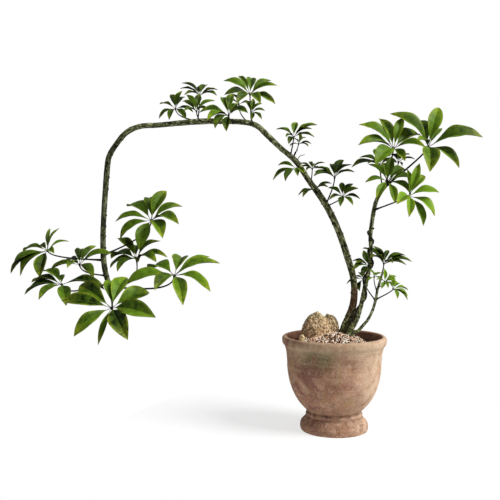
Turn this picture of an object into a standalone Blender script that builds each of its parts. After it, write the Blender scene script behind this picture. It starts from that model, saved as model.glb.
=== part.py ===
"""Potted umbrella plant: a footed terracotta urn holding three bare, arching stems that carry
compound leaves of glossy leaflets, with a rough stone set in a bed of gravel.

Metres, +Z up. The origin is the middle of the pot's flat underside. +X is to the right and -Y
towards the viewer. The tall stem arches over to the left and hangs down again.
"""

import math
import random
from collections import namedtuple

import bmesh
import bpy
from mathutils import Vector
from mathutils.geometry import delaunay_2d_cdt

# Clear distance between pieces that touch, and more of it where a facet cuts its corner.
GAP = 0.0003
ROCK_CLEARANCE = 1.2 * GAP
ROOT_CLEARANCE = 1.5 * GAP
ROOT_STAND_OFF = 3 * GAP

# Pot, as radii and heights. The rim is the driving size: 300 mm across.
POT_STEPS = 36
RIM_RADIUS = 0.150
LIP_BEAD = 0.0085
LIP_HEIGHT = 0.259
LIP_FOOT = 0.250
COLLAR = (0.1412, 0.2365)
SHOULDER = (0.137, 0.217)
BELLY = (0.1335, 0.170)
BOWL_PULL = (0.1270, 0.0962)
WAIST = (0.0765, 0.0535)
FOOT_OUTLINE = (
    (0.0812, 0.0465),
    (0.0805, 0.0400),
    (0.0885, 0.0295),
    (0.0962, 0.0190),
    (0.0972, 0.0105),
    (0.0950, 0.0),
)
NECK_INSIDE = (0.1275, 0.235)
BELLY_INSIDE = (0.1240, 0.165)
BOWL_INSIDE_PULL = (0.1190, 0.105)
FLOOR_INSIDE = (0.0640, 0.066)
DRAIN_RADIUS = 0.006
DRAIN_CIRCLE = 0.035
DRAIN_COUNT = 3
DRAIN_DEPTH = 0.2

# Soil, level with its edge on the pot's wall.
SOIL_LEVEL = 0.2475
SOIL_EDGE_RADIUS = 0.1300

# Gravel bed, an oval heap in front of the stems and round them, with a pebbled relief.
BED_CENTRE = (-0.010, -0.043)
BED_REACH = (0.097, 0.081)
BED_CORNERS = 32
BED_EDGE_HEIGHT = 0.2555
CROWN = (-0.012, -0.006)
CROWN_HEIGHT = 0.2800
CROWN_REACH = (0.112, 0.082)
PEBBLE_SPACING = 0.0090
ROW_STEP = math.sqrt(3) / 2
PEBBLE_RISE = 0.0034
PEBBLE_INSET = 0.95
CREST_RISE = (0.6, 1.2)
CREST_STRAY = 0.22
DIP_FALL = (0.0, 0.6)
DIP_STRAY = 0.12

# Stone of two boulders grown together, each as its centre and its reach. The left one is
# higher and nearer.
BOULDERS = (
    (Vector((-0.0525, -0.004, 0.278)), Vector((0.0430, 0.036, 0.0660))),
    (Vector((-0.0094, 0.034, 0.2804)), Vector((0.0295, 0.030, 0.0475))),
)
DENT_DEPTH = 0.04
DENT_WAVE_ACROSS = Vector((5, 3, 0))
DENT_WAVE_UP = Vector((0, -3, 4))
DENT_SHIFT = 90
# Flat chips off each boulder, as the way each looks and its distance out, a share of the reach.
CHIPS = (
    (Vector((-0.73, -0.12, 0.67)), 0.82),
    (Vector((0.70, -0.30, 0.65)), 0.86),
    (Vector((-0.10, -0.80, 0.59)), 0.88),
    (Vector((0.42, -0.90, -0.10)), 0.88),
    (Vector((-0.55, 0.65, 0.52)), 0.84),
    (Vector((0.35, 0.80, 0.49)), 0.84),
    (Vector((-0.88, -0.46, -0.12)), 0.92),
    (Vector((0.93, 0.30, 0.20)), 0.90),
    (Vector((-0.50, -0.86, 0.10)), 0.90),
)
# What shapes each boulder's top: the left one comes to a peak and the right one is rounded.
TOP_CHIPS = (
    (
        (Vector((-0.30, 0.05, 0.95)), 0.84),
        (Vector((0.43, -0.05, 0.90)), 0.87),
    ),
    (
        (Vector((0.12, 0.05, 0.99)), 0.92),
    ),
)
SMALL_STONE = (Vector((-0.0975, -0.066, 0.2675)), Vector((0.0092, 0.0088, 0.0142)))

# Stems, as points chosen along the middle of each: x, y, z and the radius there.
TALL_STEM = (
    (0.0205, 0.024, 0.215, 0.0118),
    (0.0310, 0.024, 0.2784, 0.0120),
    (0.0447, 0.024, 0.3145, 0.0112),
    (0.0584, 0.022, 0.3550, 0.0104),
    (0.0611, 0.018, 0.4025, 0.0097),
    (0.0545, 0.015, 0.447, 0.0097),
    (0.042, 0.018, 0.490, 0.0098),
    (0.020, 0.020, 0.557, 0.0095),
    (-0.010, 0.018, 0.624, 0.0095),
    (-0.042, 0.012, 0.675, 0.0095),
    (-0.071, 0.008, 0.713, 0.0080),
    (-0.109, 0.000, 0.768, 0.0082),
    (-0.152, -0.006, 0.805, 0.0076),
    (-0.189, -0.012, 0.839, 0.0080),
    (-0.220, -0.018, 0.867, 0.0080),
    (-0.256, -0.022, 0.878, 0.0080),
    (-0.322, -0.028, 0.880, 0.0078),
    (-0.384, -0.030, 0.879, 0.0084),
    (-0.446, -0.030, 0.874, 0.0078),
    (-0.503, -0.028, 0.869, 0.0074),
    (-0.555, -0.024, 0.866, 0.0075),
    (-0.594, -0.018, 0.850, 0.0080),
    (-0.623, -0.012, 0.819, 0.0078),
    (-0.646, -0.008, 0.782, 0.0080),
    (-0.653, -0.006, 0.738, 0.0084),
    (-0.657, -0.006, 0.686, 0.0080),
    (-0.660, -0.010, 0.629, 0.0078),
    (-0.662, -0.014, 0.566, 0.0078),
    (-0.661, -0.018, 0.508, 0.0080),
    (-0.656, -0.022, 0.463, 0.0078),
    (-0.646, -0.027, 0.426, 0.0072),
    (-0.636, -0.030, 0.400, 0.0056),
)
MIDDLE_STEM = (
    (0.0215, -0.010, 0.215, 0.0085),
    (0.0325, -0.010, 0.255, 0.0085),
    (0.0480, -0.007, 0.287, 0.0084),
    (0.0637, -0.002, 0.3122, 0.0074),
    (0.0761, 0.005, 0.3448, 0.0066),
    (0.0875, 0.013, 0.3875, 0.0065),
    (0.0971, 0.020, 0.4284, 0.0068),
    (0.1075, 0.022, 0.472, 0.0064),
    (0.1095, 0.020, 0.519, 0.0060),
    (0.108, 0.018, 0.557, 0.0060),
    (0.112, 0.016, 0.595, 0.0060),
    (0.118, 0.014, 0.632, 0.0062),
    (0.126, 0.012, 0.661, 0.0058),
    (0.139, 0.010, 0.684, 0.0056),
    (0.155, 0.010, 0.704, 0.0050),
)
SHORT_STEM = (
    (0.042, -0.025, 0.225, 0.0052),
    (0.0487, -0.024, 0.2706, 0.0052),
    (0.0658, -0.022, 0.2840, 0.0047),
    (0.0824, -0.018, 0.3011, 0.0044),
    (0.0966, -0.012, 0.3166, 0.0042),
    (0.1103, -0.006, 0.3417, 0.0041),
    (0.1190, -0.002, 0.3690, 0.0040),
    (0.125, 0.000, 0.398, 0.0038),
    (0.133, 0.003, 0.424, 0.0036),
    (0.1415, 0.006, 0.450, 0.0032),
)
STEM_SIDES = 8
STEM_SPACING = 0.029
SCAR_SWELL = 0.06
SPLINE_STEPS = 12
FINE_SPACING = 0.003

# Bare young stalks on the tall stem, each as three points.
SPROUT_RADIUS = 0.0013
SPROUT_SIDES = 4
SPROUTS = (
    ((-0.116, -0.002, 0.784), (-0.113, -0.010, 0.794), (-0.105, -0.015, 0.799)),
    ((-0.105, 0.000, 0.772), (-0.098, 0.012, 0.785), (-0.083, 0.016, 0.790)),
)

# Aerial root, from the soil up the left side of the middle stem and then wound round it. It leaves
# the left side at the second height, and is at the right and the left in turn at the others. The
# first and the last height are its ends.
ROOT_RADIUS = 0.0027
ROOT_SIDES = 4
ROOT_PASSES = (0.222, 0.337, 0.378, 0.425, 0.473, 0.5075, 0.537, 0.5635, 0.578)
ROOT_STEPS_PER_PASS = 4
ROOT_TAPER = 0.2

# Leaflets. The widths and the depth of the keel are shares of the length.
BLADE_WIDTH = 0.36
SMALL_BLADE_WIDTH = 0.30
SMALL_LEAF = 0.082
BLADE_KEEL = 0.34
RIB_THICKNESS = 0.0016
STALK_RADIUS = 0.0009
LONG_LEAFLET = 0.062
LONG_STATIONS = ((0.18, 0.13), (0.45, 0.96), (0.76, 0.80))
SHORT_STATIONS = ((0.20, 0.15), (0.60, 1.05))
ARCH = 0.15
LEAST_LIFT = 0.2

# Petioles. Their radius grows with the leaf, and the rest are shares of that radius.
PETIOLE_SIDES = 4
PETIOLE_SPANS = 4
PETIOLE_LEAST_RADIUS = 0.0014
PETIOLE_GROWTH = 0.0085
PETIOLE_FLARE = 1.15
PETIOLE_TAPER = 0.3
NECK = 0.96
KNOB_SWELL = 1.9
KNOB_LENGTH = 1.2
KNOB_TIP = 1.1
LEAFLET_START = 0.6
FOOT_OFFSET = 0.5

# A compound leaf: a petiole from its foot on a stem to its hub, where the leaflets spread.
# Facing is the way the hub looks. Each leaflet is its bearing in degrees as seen from the
# viewpoint, from +X up towards +Z, its lean towards the viewpoint in degrees, and, where they
# aren't 1, its reach as a share of the leaf's length and its breadth as a share of the usual.
# Bend is how far below the hub the petiole turns up to it, as a share of the way from foot to hub.
VIEWPOINT = Vector((-0.242, -2.0, 0.567))
Leaf = namedtuple("Leaf", "foot hub facing length leaflets bend", defaults=(0.28,))
Leaflet = namedtuple("Leaflet", "bearing lean reach breadth", defaults=(1, 1))

TALL_LEAVES = (
    Leaf((-0.661, -0.020, 0.500), (-0.533, 0.050, 0.600), (0.1, -0.5, 0.86), 0.109,
         ((95, -50), (63, -24), (24, -20), (-8, 44), (-58, 57), (247, 33), (211, 10, 1, 1.15),
          (182, -8, 1, 0.75), (150, -38, 1, 1.25))),
    Leaf((-0.642, -0.028, 0.416), (-0.574, 0.030, 0.488), (-0.1, -0.25, 0.97), 0.091,
         ((134, -24, 1, 1.08), (88, -64), (36, -14), (2, 5), (-10, 51), (-61, 78, 0.6),
          (214, 44, 1, 1.15), (200, -24), (180, -33, 1, 1.3)), 0.75),
    Leaf((-0.639, -0.029, 0.408), (-0.451, -0.080, 0.445), (0.1, -0.5, 0.86), 0.131,
         ((170, -56), (191, 0, 1.05, 0.85), (216, 56, 0.88), (-74, 52, 1, 0.75), (-24, 37, 1, 0.75),
          (15, 0, 1, 0.85), (28, -29, 1, 0.5), (65, -64))),
    Leaf((-0.637, -0.030, 0.403), (-0.613, -0.140, 0.362), (0.0, -0.8, 0.6), 0.131,
         ((82, -57, 1.04), (64, -43), (22, -30, 1, 1.1), (-12, 26), (-63, 46), (250, 30, 0.9, 0.4),
          (217, 20, 1, 0.85), (172, 0, 1.03, 0.9), (145, -30, 0.95))),
    Leaf((-0.643, -0.028, 0.419), (-0.770, -0.050, 0.418), (0.1, -0.3, 0.95), 0.093,
         ((144, -38, 0.9), (176, -20), (195, 0, 1.17), (213, 35), (-79, 51), (-7, 10, 1.3),
          (105, -60, 0.6))),
    Leaf((-0.651, -0.025, 0.442), (-0.711, -0.090, 0.476), (0.0, -0.4, 0.92), 0.080,
         ((84, -56), (48, -28), (18, 4, 1.18), (-42, 50), (195, 65), (193, -5, 1.08),
          (168, -62, 0.9))),
    Leaf((-0.661, -0.019, 0.485), (-0.837, 0.040, 0.511), (-0.15, -0.45, 0.88), 0.100,
         ((83, -32, 0.79, 0.45), (62, -10, 0.77, 0.45), (23, -30, 0.81, 0.55), (-21, 65, 0.5),
          (150, -55, 0.5), (183, -35, 0.9, 0.7), (212, 0, 1.27, 1.1), (223, 10, 1.1, 1.1),
          (254, 36, 0.98, 1.1)), 0.13),
    Leaf((-0.396, -0.030, 0.878), (-0.458, 0.010, 0.922), (-0.1, -0.5, 0.86), 0.056,
         ((105, -38), (69, 0), (163, -30, 1, 0.8), (211, 12), (241, 50), (-45, 40), (-11, 20),
          (50, -35))),
    Leaf((-0.391, -0.030, 0.878), (-0.385, -0.020, 0.955), (0.0, -0.3, 0.95), 0.058,
         ((146, -5, 1.1), (161, 10, 1.05), (122, -65), (55, -52), (17, -20), (0, 35),
          (178, 42))),
    Leaf((-0.384, -0.030, 0.879), (-0.390, -0.080, 0.899), (0.0, -0.6, 0.8), 0.054,
         ((121, 0), (144, -25), (81, -25), (30, 0, 1.1), (8, 60), (178, 50))),
    Leaf((-0.270, -0.024, 0.880), (-0.301, -0.090, 0.886), (-0.1, -0.55, 0.83), 0.081,
         ((174, 0), (193, 44, 1, 1.25), (223, 52), (262, 40, 0.7), (8, 50), (48, -38, 0.7),
          (80, -40, 1, 0.75), (109, -48, 1, 0.8))),
    Leaf((-0.238, -0.020, 0.874), (-0.242, 0.030, 0.968), (0.0, -0.7, 0.72), 0.080,
         ((123, -35, 1, 0.6), (153, 0, 1.09, 1.1), (181, 22), (86, -52), (33, -20),
          (18, 6, 1.05, 0.8), (-21, 12), (-42, 60), (213, 55))),
    Leaf((-0.250, -0.021, 0.877), (-0.275, 0.060, 0.945), (0.0, 0.2, 1.0), 0.042,
         ((130, -20), (162, 0), (98, -50), (62, -25), (0, 15), (233, -40))),
    Leaf((-0.232, -0.019, 0.871), (-0.239, -0.080, 0.896), (0.2, -0.5, 0.84), 0.040,
         ((81, -10), (39, 0), (7, 15), (-32, 30), (-85, 60), (122, -20))),
    Leaf((-0.127, -0.003, 0.785), (-0.118, -0.030, 0.835), (0.05, -0.2, 0.97), 0.076,
         ((156, -25, 0.8), (82, -38, 0.72), (24, 34, 0.88), (27, -4), (0, 28, 0.86),
          (234, 58, 0.6), (180, 62, 0.6))),
    Leaf((-0.120, -0.001, 0.778), (-0.100, 0.030, 0.823), (0.2, 0.1, 0.97), 0.038,
         ((0, 8), (-15, 40), (41, -40), (88, -20), (132, -50, 0.8), (195, 30, 0.8))),
    Leaf((-0.100, 0.002, 0.755), (-0.112, -0.060, 0.743), (-0.2, -0.5, 0.84), 0.074,
         ((170, -22, 0.78), (206, 8), (228, 46, 0.9), (-80, 62, 0.6), (-32, 56, 0.62))),
    Leaf((-0.068, 0.009, 0.709), (-0.060, 0.030, 0.750), (0.0, -0.1, 1.0), 0.042,
         ((158, -6), (174, 28), (196, 58, 0.8), (112, -50, 0.85), (70, -62, 0.8), (26, -12),
          (5, 50, 0.8))),
    Leaf((-0.022, 0.016, 0.651), (-0.002, -0.030, 0.721), (0.0, -0.25, 0.97), 0.069,
         ((177, 32), (165, 6, 0.86), (156, -22), (103, -48, 0.85), (62, -35), (36, -12, 0.9),
          (14, 34))),
    Leaf((-0.018, 0.017, 0.641), (0.018, -0.050, 0.665), (0.0, -0.55, 0.83), 0.050,
         ((149, -15), (94, -36), (50, -18), (27, 2), (-8, 8), (-39, 42), (256, 56),
          (193, 40)), 0.1),
    Leaf((-0.045, 0.011, 0.680), (-0.059, -0.047, 0.685), (0.0, -0.3, 0.95), 0.050,
         ((199, 0), (212, 36), (20, 6), (10, 42), (90, 74, 0.6))),
)

MIDDLE_LEAVES = (
    Leaf((0.150, 0.010, 0.697), (0.159, -0.060, 0.798), (0.0, -0.6, 0.8), 0.115,
         ((145, 0, 1.03), (116, -22, 0.9, 0.9), (74, -20, 0.85, 0.7), (174, 25, 0.93), (221, 52, 0.92),
          (28, -38, 0.93), (3, 33, 0.9), (-47, 48, 0.6))),
    Leaf((0.153, 0.010, 0.702), (0.266, -0.020, 0.808), (0.1, -0.6, 0.8), 0.144,
         ((139, 2), (117, -46, 0.85), (75, -20, 0.88, 0.85), (57, -50, 0.7, 0.6), (10, 8, 1.1, 1.1),
          (-34, 30, 0.83, 0.85), (-86, 58, 0.88), (150, 60, 0.5)), 0.12),
    Leaf((0.135, 0.010, 0.678), (0.141, -0.065, 0.707), (0.0, -0.6, 0.8), 0.071,
         ((138, 0), (183, 14, 0.9), (238, 36, 1, 0.85), (-71, 26), (81, -5), (104, -40),
          (37, -32, 1, 1.15), (3, -12, 1.12, 1.25), (-31, -8, 1.1, 1.25))),
    Leaf((0.118, 0.014, 0.630), (0.193, -0.100, 0.664), (0.1, -0.6, 0.8), 0.091,
         ((72, -4, 1.04, 0.6), (94, -20, 0.88, 0.5), (53, -38, 1, 0.75), (7, 12, 0.92),
          (-38, 15, 1, 1.1), (-64, 10, 1, 0.75), (-90, 46, 0.88, 0.75), (213, 58, 0.8)), 0.03),
    Leaf((0.143, 0.010, 0.689), (0.141, 0.050, 0.765), (-0.1, -0.3, 0.95), 0.084,
         ((161, -22, 0.82), (186, 4), (176, 40, 0.55), (103, -44, 0.8), (40, -55, 0.8),
          (5, -30, 0.7))),
    Leaf((0.148, 0.010, 0.694), (0.194, 0.040, 0.771), (0.1, 0.0, 1.0), 0.050,
         ((10, 0), (-47, 58, 0.6), (141, 50), (178, 15), (92, -62), (34, -36))),
    Leaf((0.107, 0.022, 0.467), (0.095, -0.025, 0.469), (-0.3, -0.4, 0.86), 0.055,
         ((108, -12, 0.88), (170, 30, 0.82), (162, -6, 0.88), (195, 34), (242, 52))),
)

SHORT_LEAVES = (
    Leaf((0.1415, 0.006, 0.449), (0.147, 0.020, 0.472), (0.0, -0.15, 0.98), 0.070,
         ((143, -30, 1.3), (121, -4, 0.88), (126, 35, 0.9), (154, 52), (70, -42, 0.85, 0.75), (22, -10),
          (5, 0, 1.18), (-2, 22), (8, 62, 0.8))),
    Leaf((0.124, 0.000, 0.392), (0.110, -0.030, 0.438), (0.0, -0.4, 0.9), 0.026,
         ((122, 0), (28, -20), (214, 20), (-17, 30), (75, -60))),
    Leaf((0.128, 0.001, 0.406), (0.137, -0.045, 0.426), (0.1, -0.5, 0.86), 0.037,
         ((92, 0), (24, -10), (0, 28), (-61, 52, 0.9), (246, 50, 0.9), (165, 20, 0.7))),
    Leaf((0.120, 0.000, 0.371), (0.166, -0.020, 0.403), (0.2, -0.3, 0.93), 0.046,
         ((106, -25, 1.08), (-4, -22), (49, -60), (-66, 50), (-25, 0), (-37, 12, 1.15),
          (135, -50)), 0.12),
    Leaf((0.119, 0.000, 0.368), (0.092, 0.051, 0.427), (-0.2, 0.0, 1.0), 0.044,
         ((197, -14, 1.2), (117, -60), (171, 30, 0.75), (255, -30), (30, -40, 0.8))),
)


def material(name, red, green, blue, roughness):
    """A plain finish, its colour given as linear red, green and blue."""
    made = bpy.data.materials.new(name)
    made.use_nodes = True
    shader = made.node_tree.nodes["Principled BSDF"]
    shader.inputs["Base Color"].default_value = (red, green, blue, 1)
    shader.inputs["Roughness"].default_value = roughness
    return made


def add_object(name, bm, finish):
    """Makes an object of the bmesh, its faces turned outwards and its round sides smooth."""
    bmesh.ops.recalc_face_normals(bm, faces=bm.faces)
    mesh = bpy.data.meshes.new(name)
    bm.to_mesh(mesh)
    bm.free()
    mesh.shade_smooth()
    mesh.set_sharp_from_angle(angle=math.radians(40))
    if finish:
        mesh.materials.append(finish)
    made = bpy.data.objects.new(name, mesh)
    bpy.context.scene.collection.objects.link(made)
    return made


def add_cutter(name, bm):
    """A helper solid that shapes other pieces and isn't one itself."""
    cutter = add_object(name, bm, None)
    cutter.hide_render = True
    cutter.display_type = "WIRE"
    return cutter


def remove_object(made):
    mesh = made.data
    bpy.data.objects.remove(made)
    bpy.data.meshes.remove(mesh)


def fuse(base, parts):
    """Joins the parts to the base as one body, then removes them."""
    group = bpy.data.collections.new(base.name + "_parts")
    bpy.context.scene.collection.children.link(group)
    for part in parts:
        bpy.context.scene.collection.objects.unlink(part)
        group.objects.link(part)
    join = base.modifiers.new("join", "BOOLEAN")
    join.operation = "UNION"
    join.solver = "EXACT"
    join.operand_type = "COLLECTION"
    join.collection = group
    keep_result(base)
    for part in parts:
        remove_object(part)
    bpy.data.collections.remove(group)


def cut(base, cutters):
    """Takes the cutters out of the base."""
    for cutter in cutters:
        step = base.modifiers.new("cut", "BOOLEAN")
        step.operation = "DIFFERENCE"
        step.solver = "EXACT"
        step.object = cutter
    keep_result(base)


def keep_result(base):
    """Applies the modifiers of an object."""
    bpy.context.view_layer.update()
    graph = bpy.context.evaluated_depsgraph_get()
    old = base.data
    base.data = bpy.data.meshes.new_from_object(base.evaluated_get(graph))
    base.modifiers.clear()
    base.data.name = base.name
    bpy.data.meshes.remove(old)


def curve_points(start, pull, end, count):
    """Points after the start of a curve that is pulled towards one point on its way."""
    found = []
    for step in range(1, count + 1):
        t = step / count
        found.append(tuple(
            (1 - t) ** 2 * a + 2 * t * (1 - t) * b + t * t * c
            for a, b, c in zip(start, pull, end)
        ))
    return found


def turned(outline, steps):
    """A closed body from an outline of (radius, height) points that starts and ends on the axis."""
    bm = bmesh.new()
    verts = [bm.verts.new((radius, 0, height)) for radius, height in outline]
    edges = [bm.edges.new(pair) for pair in zip(verts, verts[1:])]
    bmesh.ops.spin(
        bm, geom=verts + edges, cent=(0, 0, 0), axis=(0, 0, 1),
        angle=math.tau, steps=steps, use_merge=True,
    )
    bmesh.ops.remove_doubles(bm, verts=bm.verts, dist=1e-5)
    return bm


def inside_outline():
    """The pot's inner wall from the neck down to the floor's edge."""
    return [NECK_INSIDE, BELLY_INSIDE, *curve_points(BELLY_INSIDE, BOWL_INSIDE_PULL, FLOOR_INSIDE, 3)]


def add_pot(finish):
    lip = []
    for degrees in (180, 125, 80, 35, 0):
        angle = math.radians(degrees)
        lip.append((
            RIM_RADIUS - LIP_BEAD + LIP_BEAD * math.cos(angle),
            LIP_HEIGHT + LIP_BEAD * math.sin(angle),
        ))
    outside = [
        (RIM_RADIUS, LIP_FOOT),
        COLLAR,
        SHOULDER,
        BELLY,
        *curve_points(BELLY, BOWL_PULL, WAIST, 4),
        *FOOT_OUTLINE,
    ]
    inside = inside_outline()
    outline = [(0, inside[-1][1]), *reversed(inside), *lip, *outside, (0, 0)]
    pot = add_object("pot", turned(outline, POT_STEPS), finish)
    drains = bmesh.new()
    for index in range(DRAIN_COUNT):
        angle = math.tau * index / DRAIN_COUNT + math.pi / 2
        hole = bmesh.ops.create_cone(
            drains, cap_ends=True, segments=12,
            radius1=DRAIN_RADIUS, radius2=DRAIN_RADIUS, depth=DRAIN_DEPTH,
        )
        place = Vector((math.cos(angle), math.sin(angle), 0)) * DRAIN_CIRCLE
        bmesh.ops.translate(drains, verts=hole["verts"], vec=place)
    cutter = add_cutter("drain_cutter", drains)
    cut(pot, [cutter])
    remove_object(cutter)


def add_soil(finish, cutters):
    wall = [(radius - GAP, height + GAP) for radius, height in inside_outline()]
    outline = [(0, SOIL_LEVEL), (SOIL_EDGE_RADIUS, SOIL_LEVEL), *wall, (0, wall[-1][1])]
    soil = add_object("soil", turned(outline, POT_STEPS), finish)
    cut(soil, cutters)


def boulder(centre, reach, margin, top=TOP_CHIPS[0]):
    """A chipped and dented stone that stands on the soil, all of it grown by the margin."""
    bm = bmesh.new()
    bmesh.ops.create_icosphere(bm, subdivisions=2, radius=1)
    base = SOIL_LEVEL + GAP
    for vert in bm.verts:
        for facing, distance in (*top, *CHIPS):
            vert.co -= facing * max(vert.co.dot(facing) - distance, 0)
        across = math.sin(vert.co.dot(DENT_WAVE_ACROSS) + DENT_SHIFT * centre.x)
        upward = math.cos(vert.co.dot(DENT_WAVE_UP))
        vert.co = centre + vert.co * reach * (1 + DENT_DEPTH * across * upward)
    bm.normal_update()
    grown = [(vert, vert.co + vert.normal * margin) for vert in bm.verts]
    for vert, place in grown:
        vert.co = (place.x, place.y, max(place.z, base - margin))
    return bm


def add_stone(name, finish, margin):
    """The two boulders as one body, grown by the margin."""
    left, right = (boulder(*row, margin, top) for row, top in zip(BOULDERS, TOP_CHIPS))
    stone = add_object(name, left, finish)
    fuse(stone, [add_object(name + "_right", right, finish)])
    return stone


def bed_height(x, y):
    """The gravel's height at a place: highest round the tall stem's foot."""
    far = min(math.hypot((x - CROWN[0]) / CROWN_REACH[0], (y - CROWN[1]) / CROWN_REACH[1]), 1)
    return CROWN_HEIGHT - (CROWN_HEIGHT - BED_EDGE_HEIGHT) * far ** 1.5


def in_bed(x, y):
    """Whether a corner of the relief can stand at a place, clear of the bed's rim."""
    across = (x - BED_CENTRE[0]) / BED_REACH[0]
    along = (y - BED_CENTRE[1]) / BED_REACH[1]
    return math.hypot(across, along) < PEBBLE_INSET


def add_gravel(finish, cutters):
    """A heap whose top is a net of triangles, every third corner of it raised as a pebble."""
    draw = random.Random(4)
    rim = []
    for corner in range(BED_CORNERS):
        angle = math.tau * corner / BED_CORNERS
        rim.append(Vector((
            BED_CENTRE[0] + BED_REACH[0] * math.cos(angle),
            BED_CENTRE[1] + BED_REACH[1] * math.sin(angle),
        )))
    places = list(rim)
    rises = [0.0] * BED_CORNERS
    rows = round(BED_REACH[1] / (PEBBLE_SPACING * ROW_STEP)) + 1
    columns = round(BED_REACH[0] / PEBBLE_SPACING) + rows
    for row in range(-rows, rows + 1):
        for column in range(-columns, columns + 1):
            x = BED_CENTRE[0] + (column + row / 2) * PEBBLE_SPACING
            y = BED_CENTRE[1] + row * PEBBLE_SPACING * ROW_STEP
            if not in_bed(x, y):
                continue
            crest = (column - row) % 3 == 0
            stray = PEBBLE_SPACING * (CREST_STRAY if crest else DIP_STRAY)
            places.append(Vector((x + draw.uniform(-stray, stray), y + draw.uniform(-stray, stray))))
            rise = draw.uniform(*CREST_RISE) if crest else -draw.uniform(*DIP_FALL)
            rises.append(PEBBLE_RISE * rise)
    edges = [(corner, (corner + 1) % BED_CORNERS) for corner in range(BED_CORNERS)]
    flat, _, triangles, sources, _, _ = delaunay_2d_cdt(places, edges, [], 1, 1e-6)
    bm = bmesh.new()
    top = []
    foot = {}
    for index, (place, source) in enumerate(zip(flat, sources)):
        height = bed_height(place.x, place.y) + rises[source[0]]
        top.append(bm.verts.new((*place, height)))
        if source[0] < BED_CORNERS:
            foot[index] = bm.verts.new((*place, SOIL_LEVEL + GAP))
    for corners in triangles:
        bm.faces.new([top[index] for index in corners])
    ring = sorted(foot, key=lambda index: sources[index][0])
    for here, after in zip(ring, ring[1:] + ring[:1]):
        bm.faces.new((top[here], top[after], foot[after], foot[here]))
    bm.faces.new([foot[index] for index in ring])
    gravel = add_object("gravel", bm, finish)
    cut(gravel, cutters)


def smooth_route(points, spacing):
    """Evenly spaced points, as (place, radius), on a smooth curve through the points given."""
    rows = [Vector(row[:3]) for row in points]
    radii = [row[3] for row in points]
    fine = []
    for index in range(len(points) - 1):
        a = max(index - 1, 0)
        d = min(index + 2, len(points) - 1)
        for step in range(SPLINE_STEPS):
            t = step / SPLINE_STEPS
            weights = (
                (-t + 2 * t * t - t ** 3) / 2,
                (2 - 5 * t * t + 3 * t ** 3) / 2,
                (t + 4 * t * t - 3 * t ** 3) / 2,
                (-t * t + t ** 3) / 2,
            )
            picked = (a, index, index + 1, d)
            place = sum((rows[i] * w for i, w in zip(picked, weights)), Vector())
            fine.append((place, sum(radii[i] * w for i, w in zip(picked, weights))))
    fine.append((rows[-1], radii[-1]))
    length = sum((b[0] - a[0]).length for a, b in zip(fine, fine[1:]))
    count = max(round(length / spacing), 2)
    wanted = [length * index / count for index in range(count + 1)]
    route = []
    done = 0.0
    for (place, radius), (after, after_radius) in zip(fine, fine[1:]):
        span = (after - place).length
        while len(route) < count and wanted[len(route)] <= done + span:
            share = (wanted[len(route)] - done) / span
            route.append((place.lerp(after, share), radius + (after_radius - radius) * share))
        done += span
    route.append(fine[-1])
    return route


def tube(route, sides):
    """A closed tube with flat ends along (place, radius) points, its rings turned without twist."""
    bm = bmesh.new()
    places = [place for place, radius in route]
    side = None
    before = None
    for index, (place, radius) in enumerate(route):
        ahead = places[min(index + 1, len(places) - 1)] - places[max(index - 1, 0)]
        ahead.normalize()
        if side is None:
            side = ahead.orthogonal().normalized()
        side = (side - ahead * side.dot(ahead)).normalized()
        across = ahead.cross(side)
        ring = []
        for corner in range(sides):
            angle = math.tau * corner / sides
            ring.append(bm.verts.new(place + (side * math.cos(angle) + across * math.sin(angle)) * radius))
        if before:
            for corner in range(sides):
                after = (corner + 1) % sides
                bm.faces.new((before[corner], before[after], ring[after], ring[corner]))
        else:
            bm.faces.new(ring[::-1])
        before = ring
    bm.faces.new(before)
    return bm


def knuckled(route, margin):
    """The route with its radii swollen at every other ring, as old leaf scars leave a stem.

    A margin grows it all round, past its ends too.
    """
    found = []
    for index, (place, radius) in enumerate(route):
        swell = SCAR_SWELL if index % 2 else -SCAR_SWELL / 2
        found.append((place, radius * (1 + swell) + margin))
    for end, inner in ((0, 1), (-1, -2)):
        place, radius = found[end]
        found[end] = (place + (place - found[inner][0]).normalized() * margin, radius)
    return found


def add_stem(name, points, finish):
    """A stem and the cutter that keeps other pieces clear of it."""
    route = smooth_route(points, STEM_SPACING)
    stem = add_object(name, tube(knuckled(route, 0), STEM_SIDES), finish)
    margin = GAP / math.cos(math.pi / STEM_SIDES)
    cutter = add_cutter(name + "_clearance", tube(knuckled(route, margin), STEM_SIDES))
    return stem, cutter


def root_route():
    """The aerial root's way up round the middle stem, just clear of its bark."""
    stem = smooth_route(MIDDLE_STEM, FINE_SPACING)
    route = []
    for turn, (low, high) in enumerate(zip(ROOT_PASSES, ROOT_PASSES[1:])):
        for step in range(ROOT_STEPS_PER_PASS):
            share = step / ROOT_STEPS_PER_PASS
            height = low + (high - low) * share
            index = min(range(1, len(stem) - 1), key=lambda row: abs(stem[row][0].z - height))
            place, radius = stem[index]
            ahead = (stem[index + 1][0] - stem[index - 1][0]).normalized()
            right = (Vector((1, 0, 0)) - ahead * ahead.x).normalized()
            away = radius * (1 + SCAR_SWELL) + ROOT_RADIUS + ROOT_STAND_OFF
            angle = -math.pi * max(turn + share, 1)
            offset = (right * math.cos(angle) + ahead.cross(right) * math.sin(angle)) * away
            taper = 1 - ROOT_TAPER * (turn + share) / len(ROOT_PASSES)
            route.append((place + offset, ROOT_RADIUS * taper))
    return route


def ring_corners(bm, place, side, up, half_width, half_rib, keel):
    """The four corners of a blade's section: left edge, top of the rib, right edge, underside."""
    edge = side * half_width
    wing = up * keel
    rib = up * half_rib
    corners = (place - edge + wing, place + rib, place + edge + wing, place - rib)
    return [bm.verts.new(corner) for corner in corners]


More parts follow.
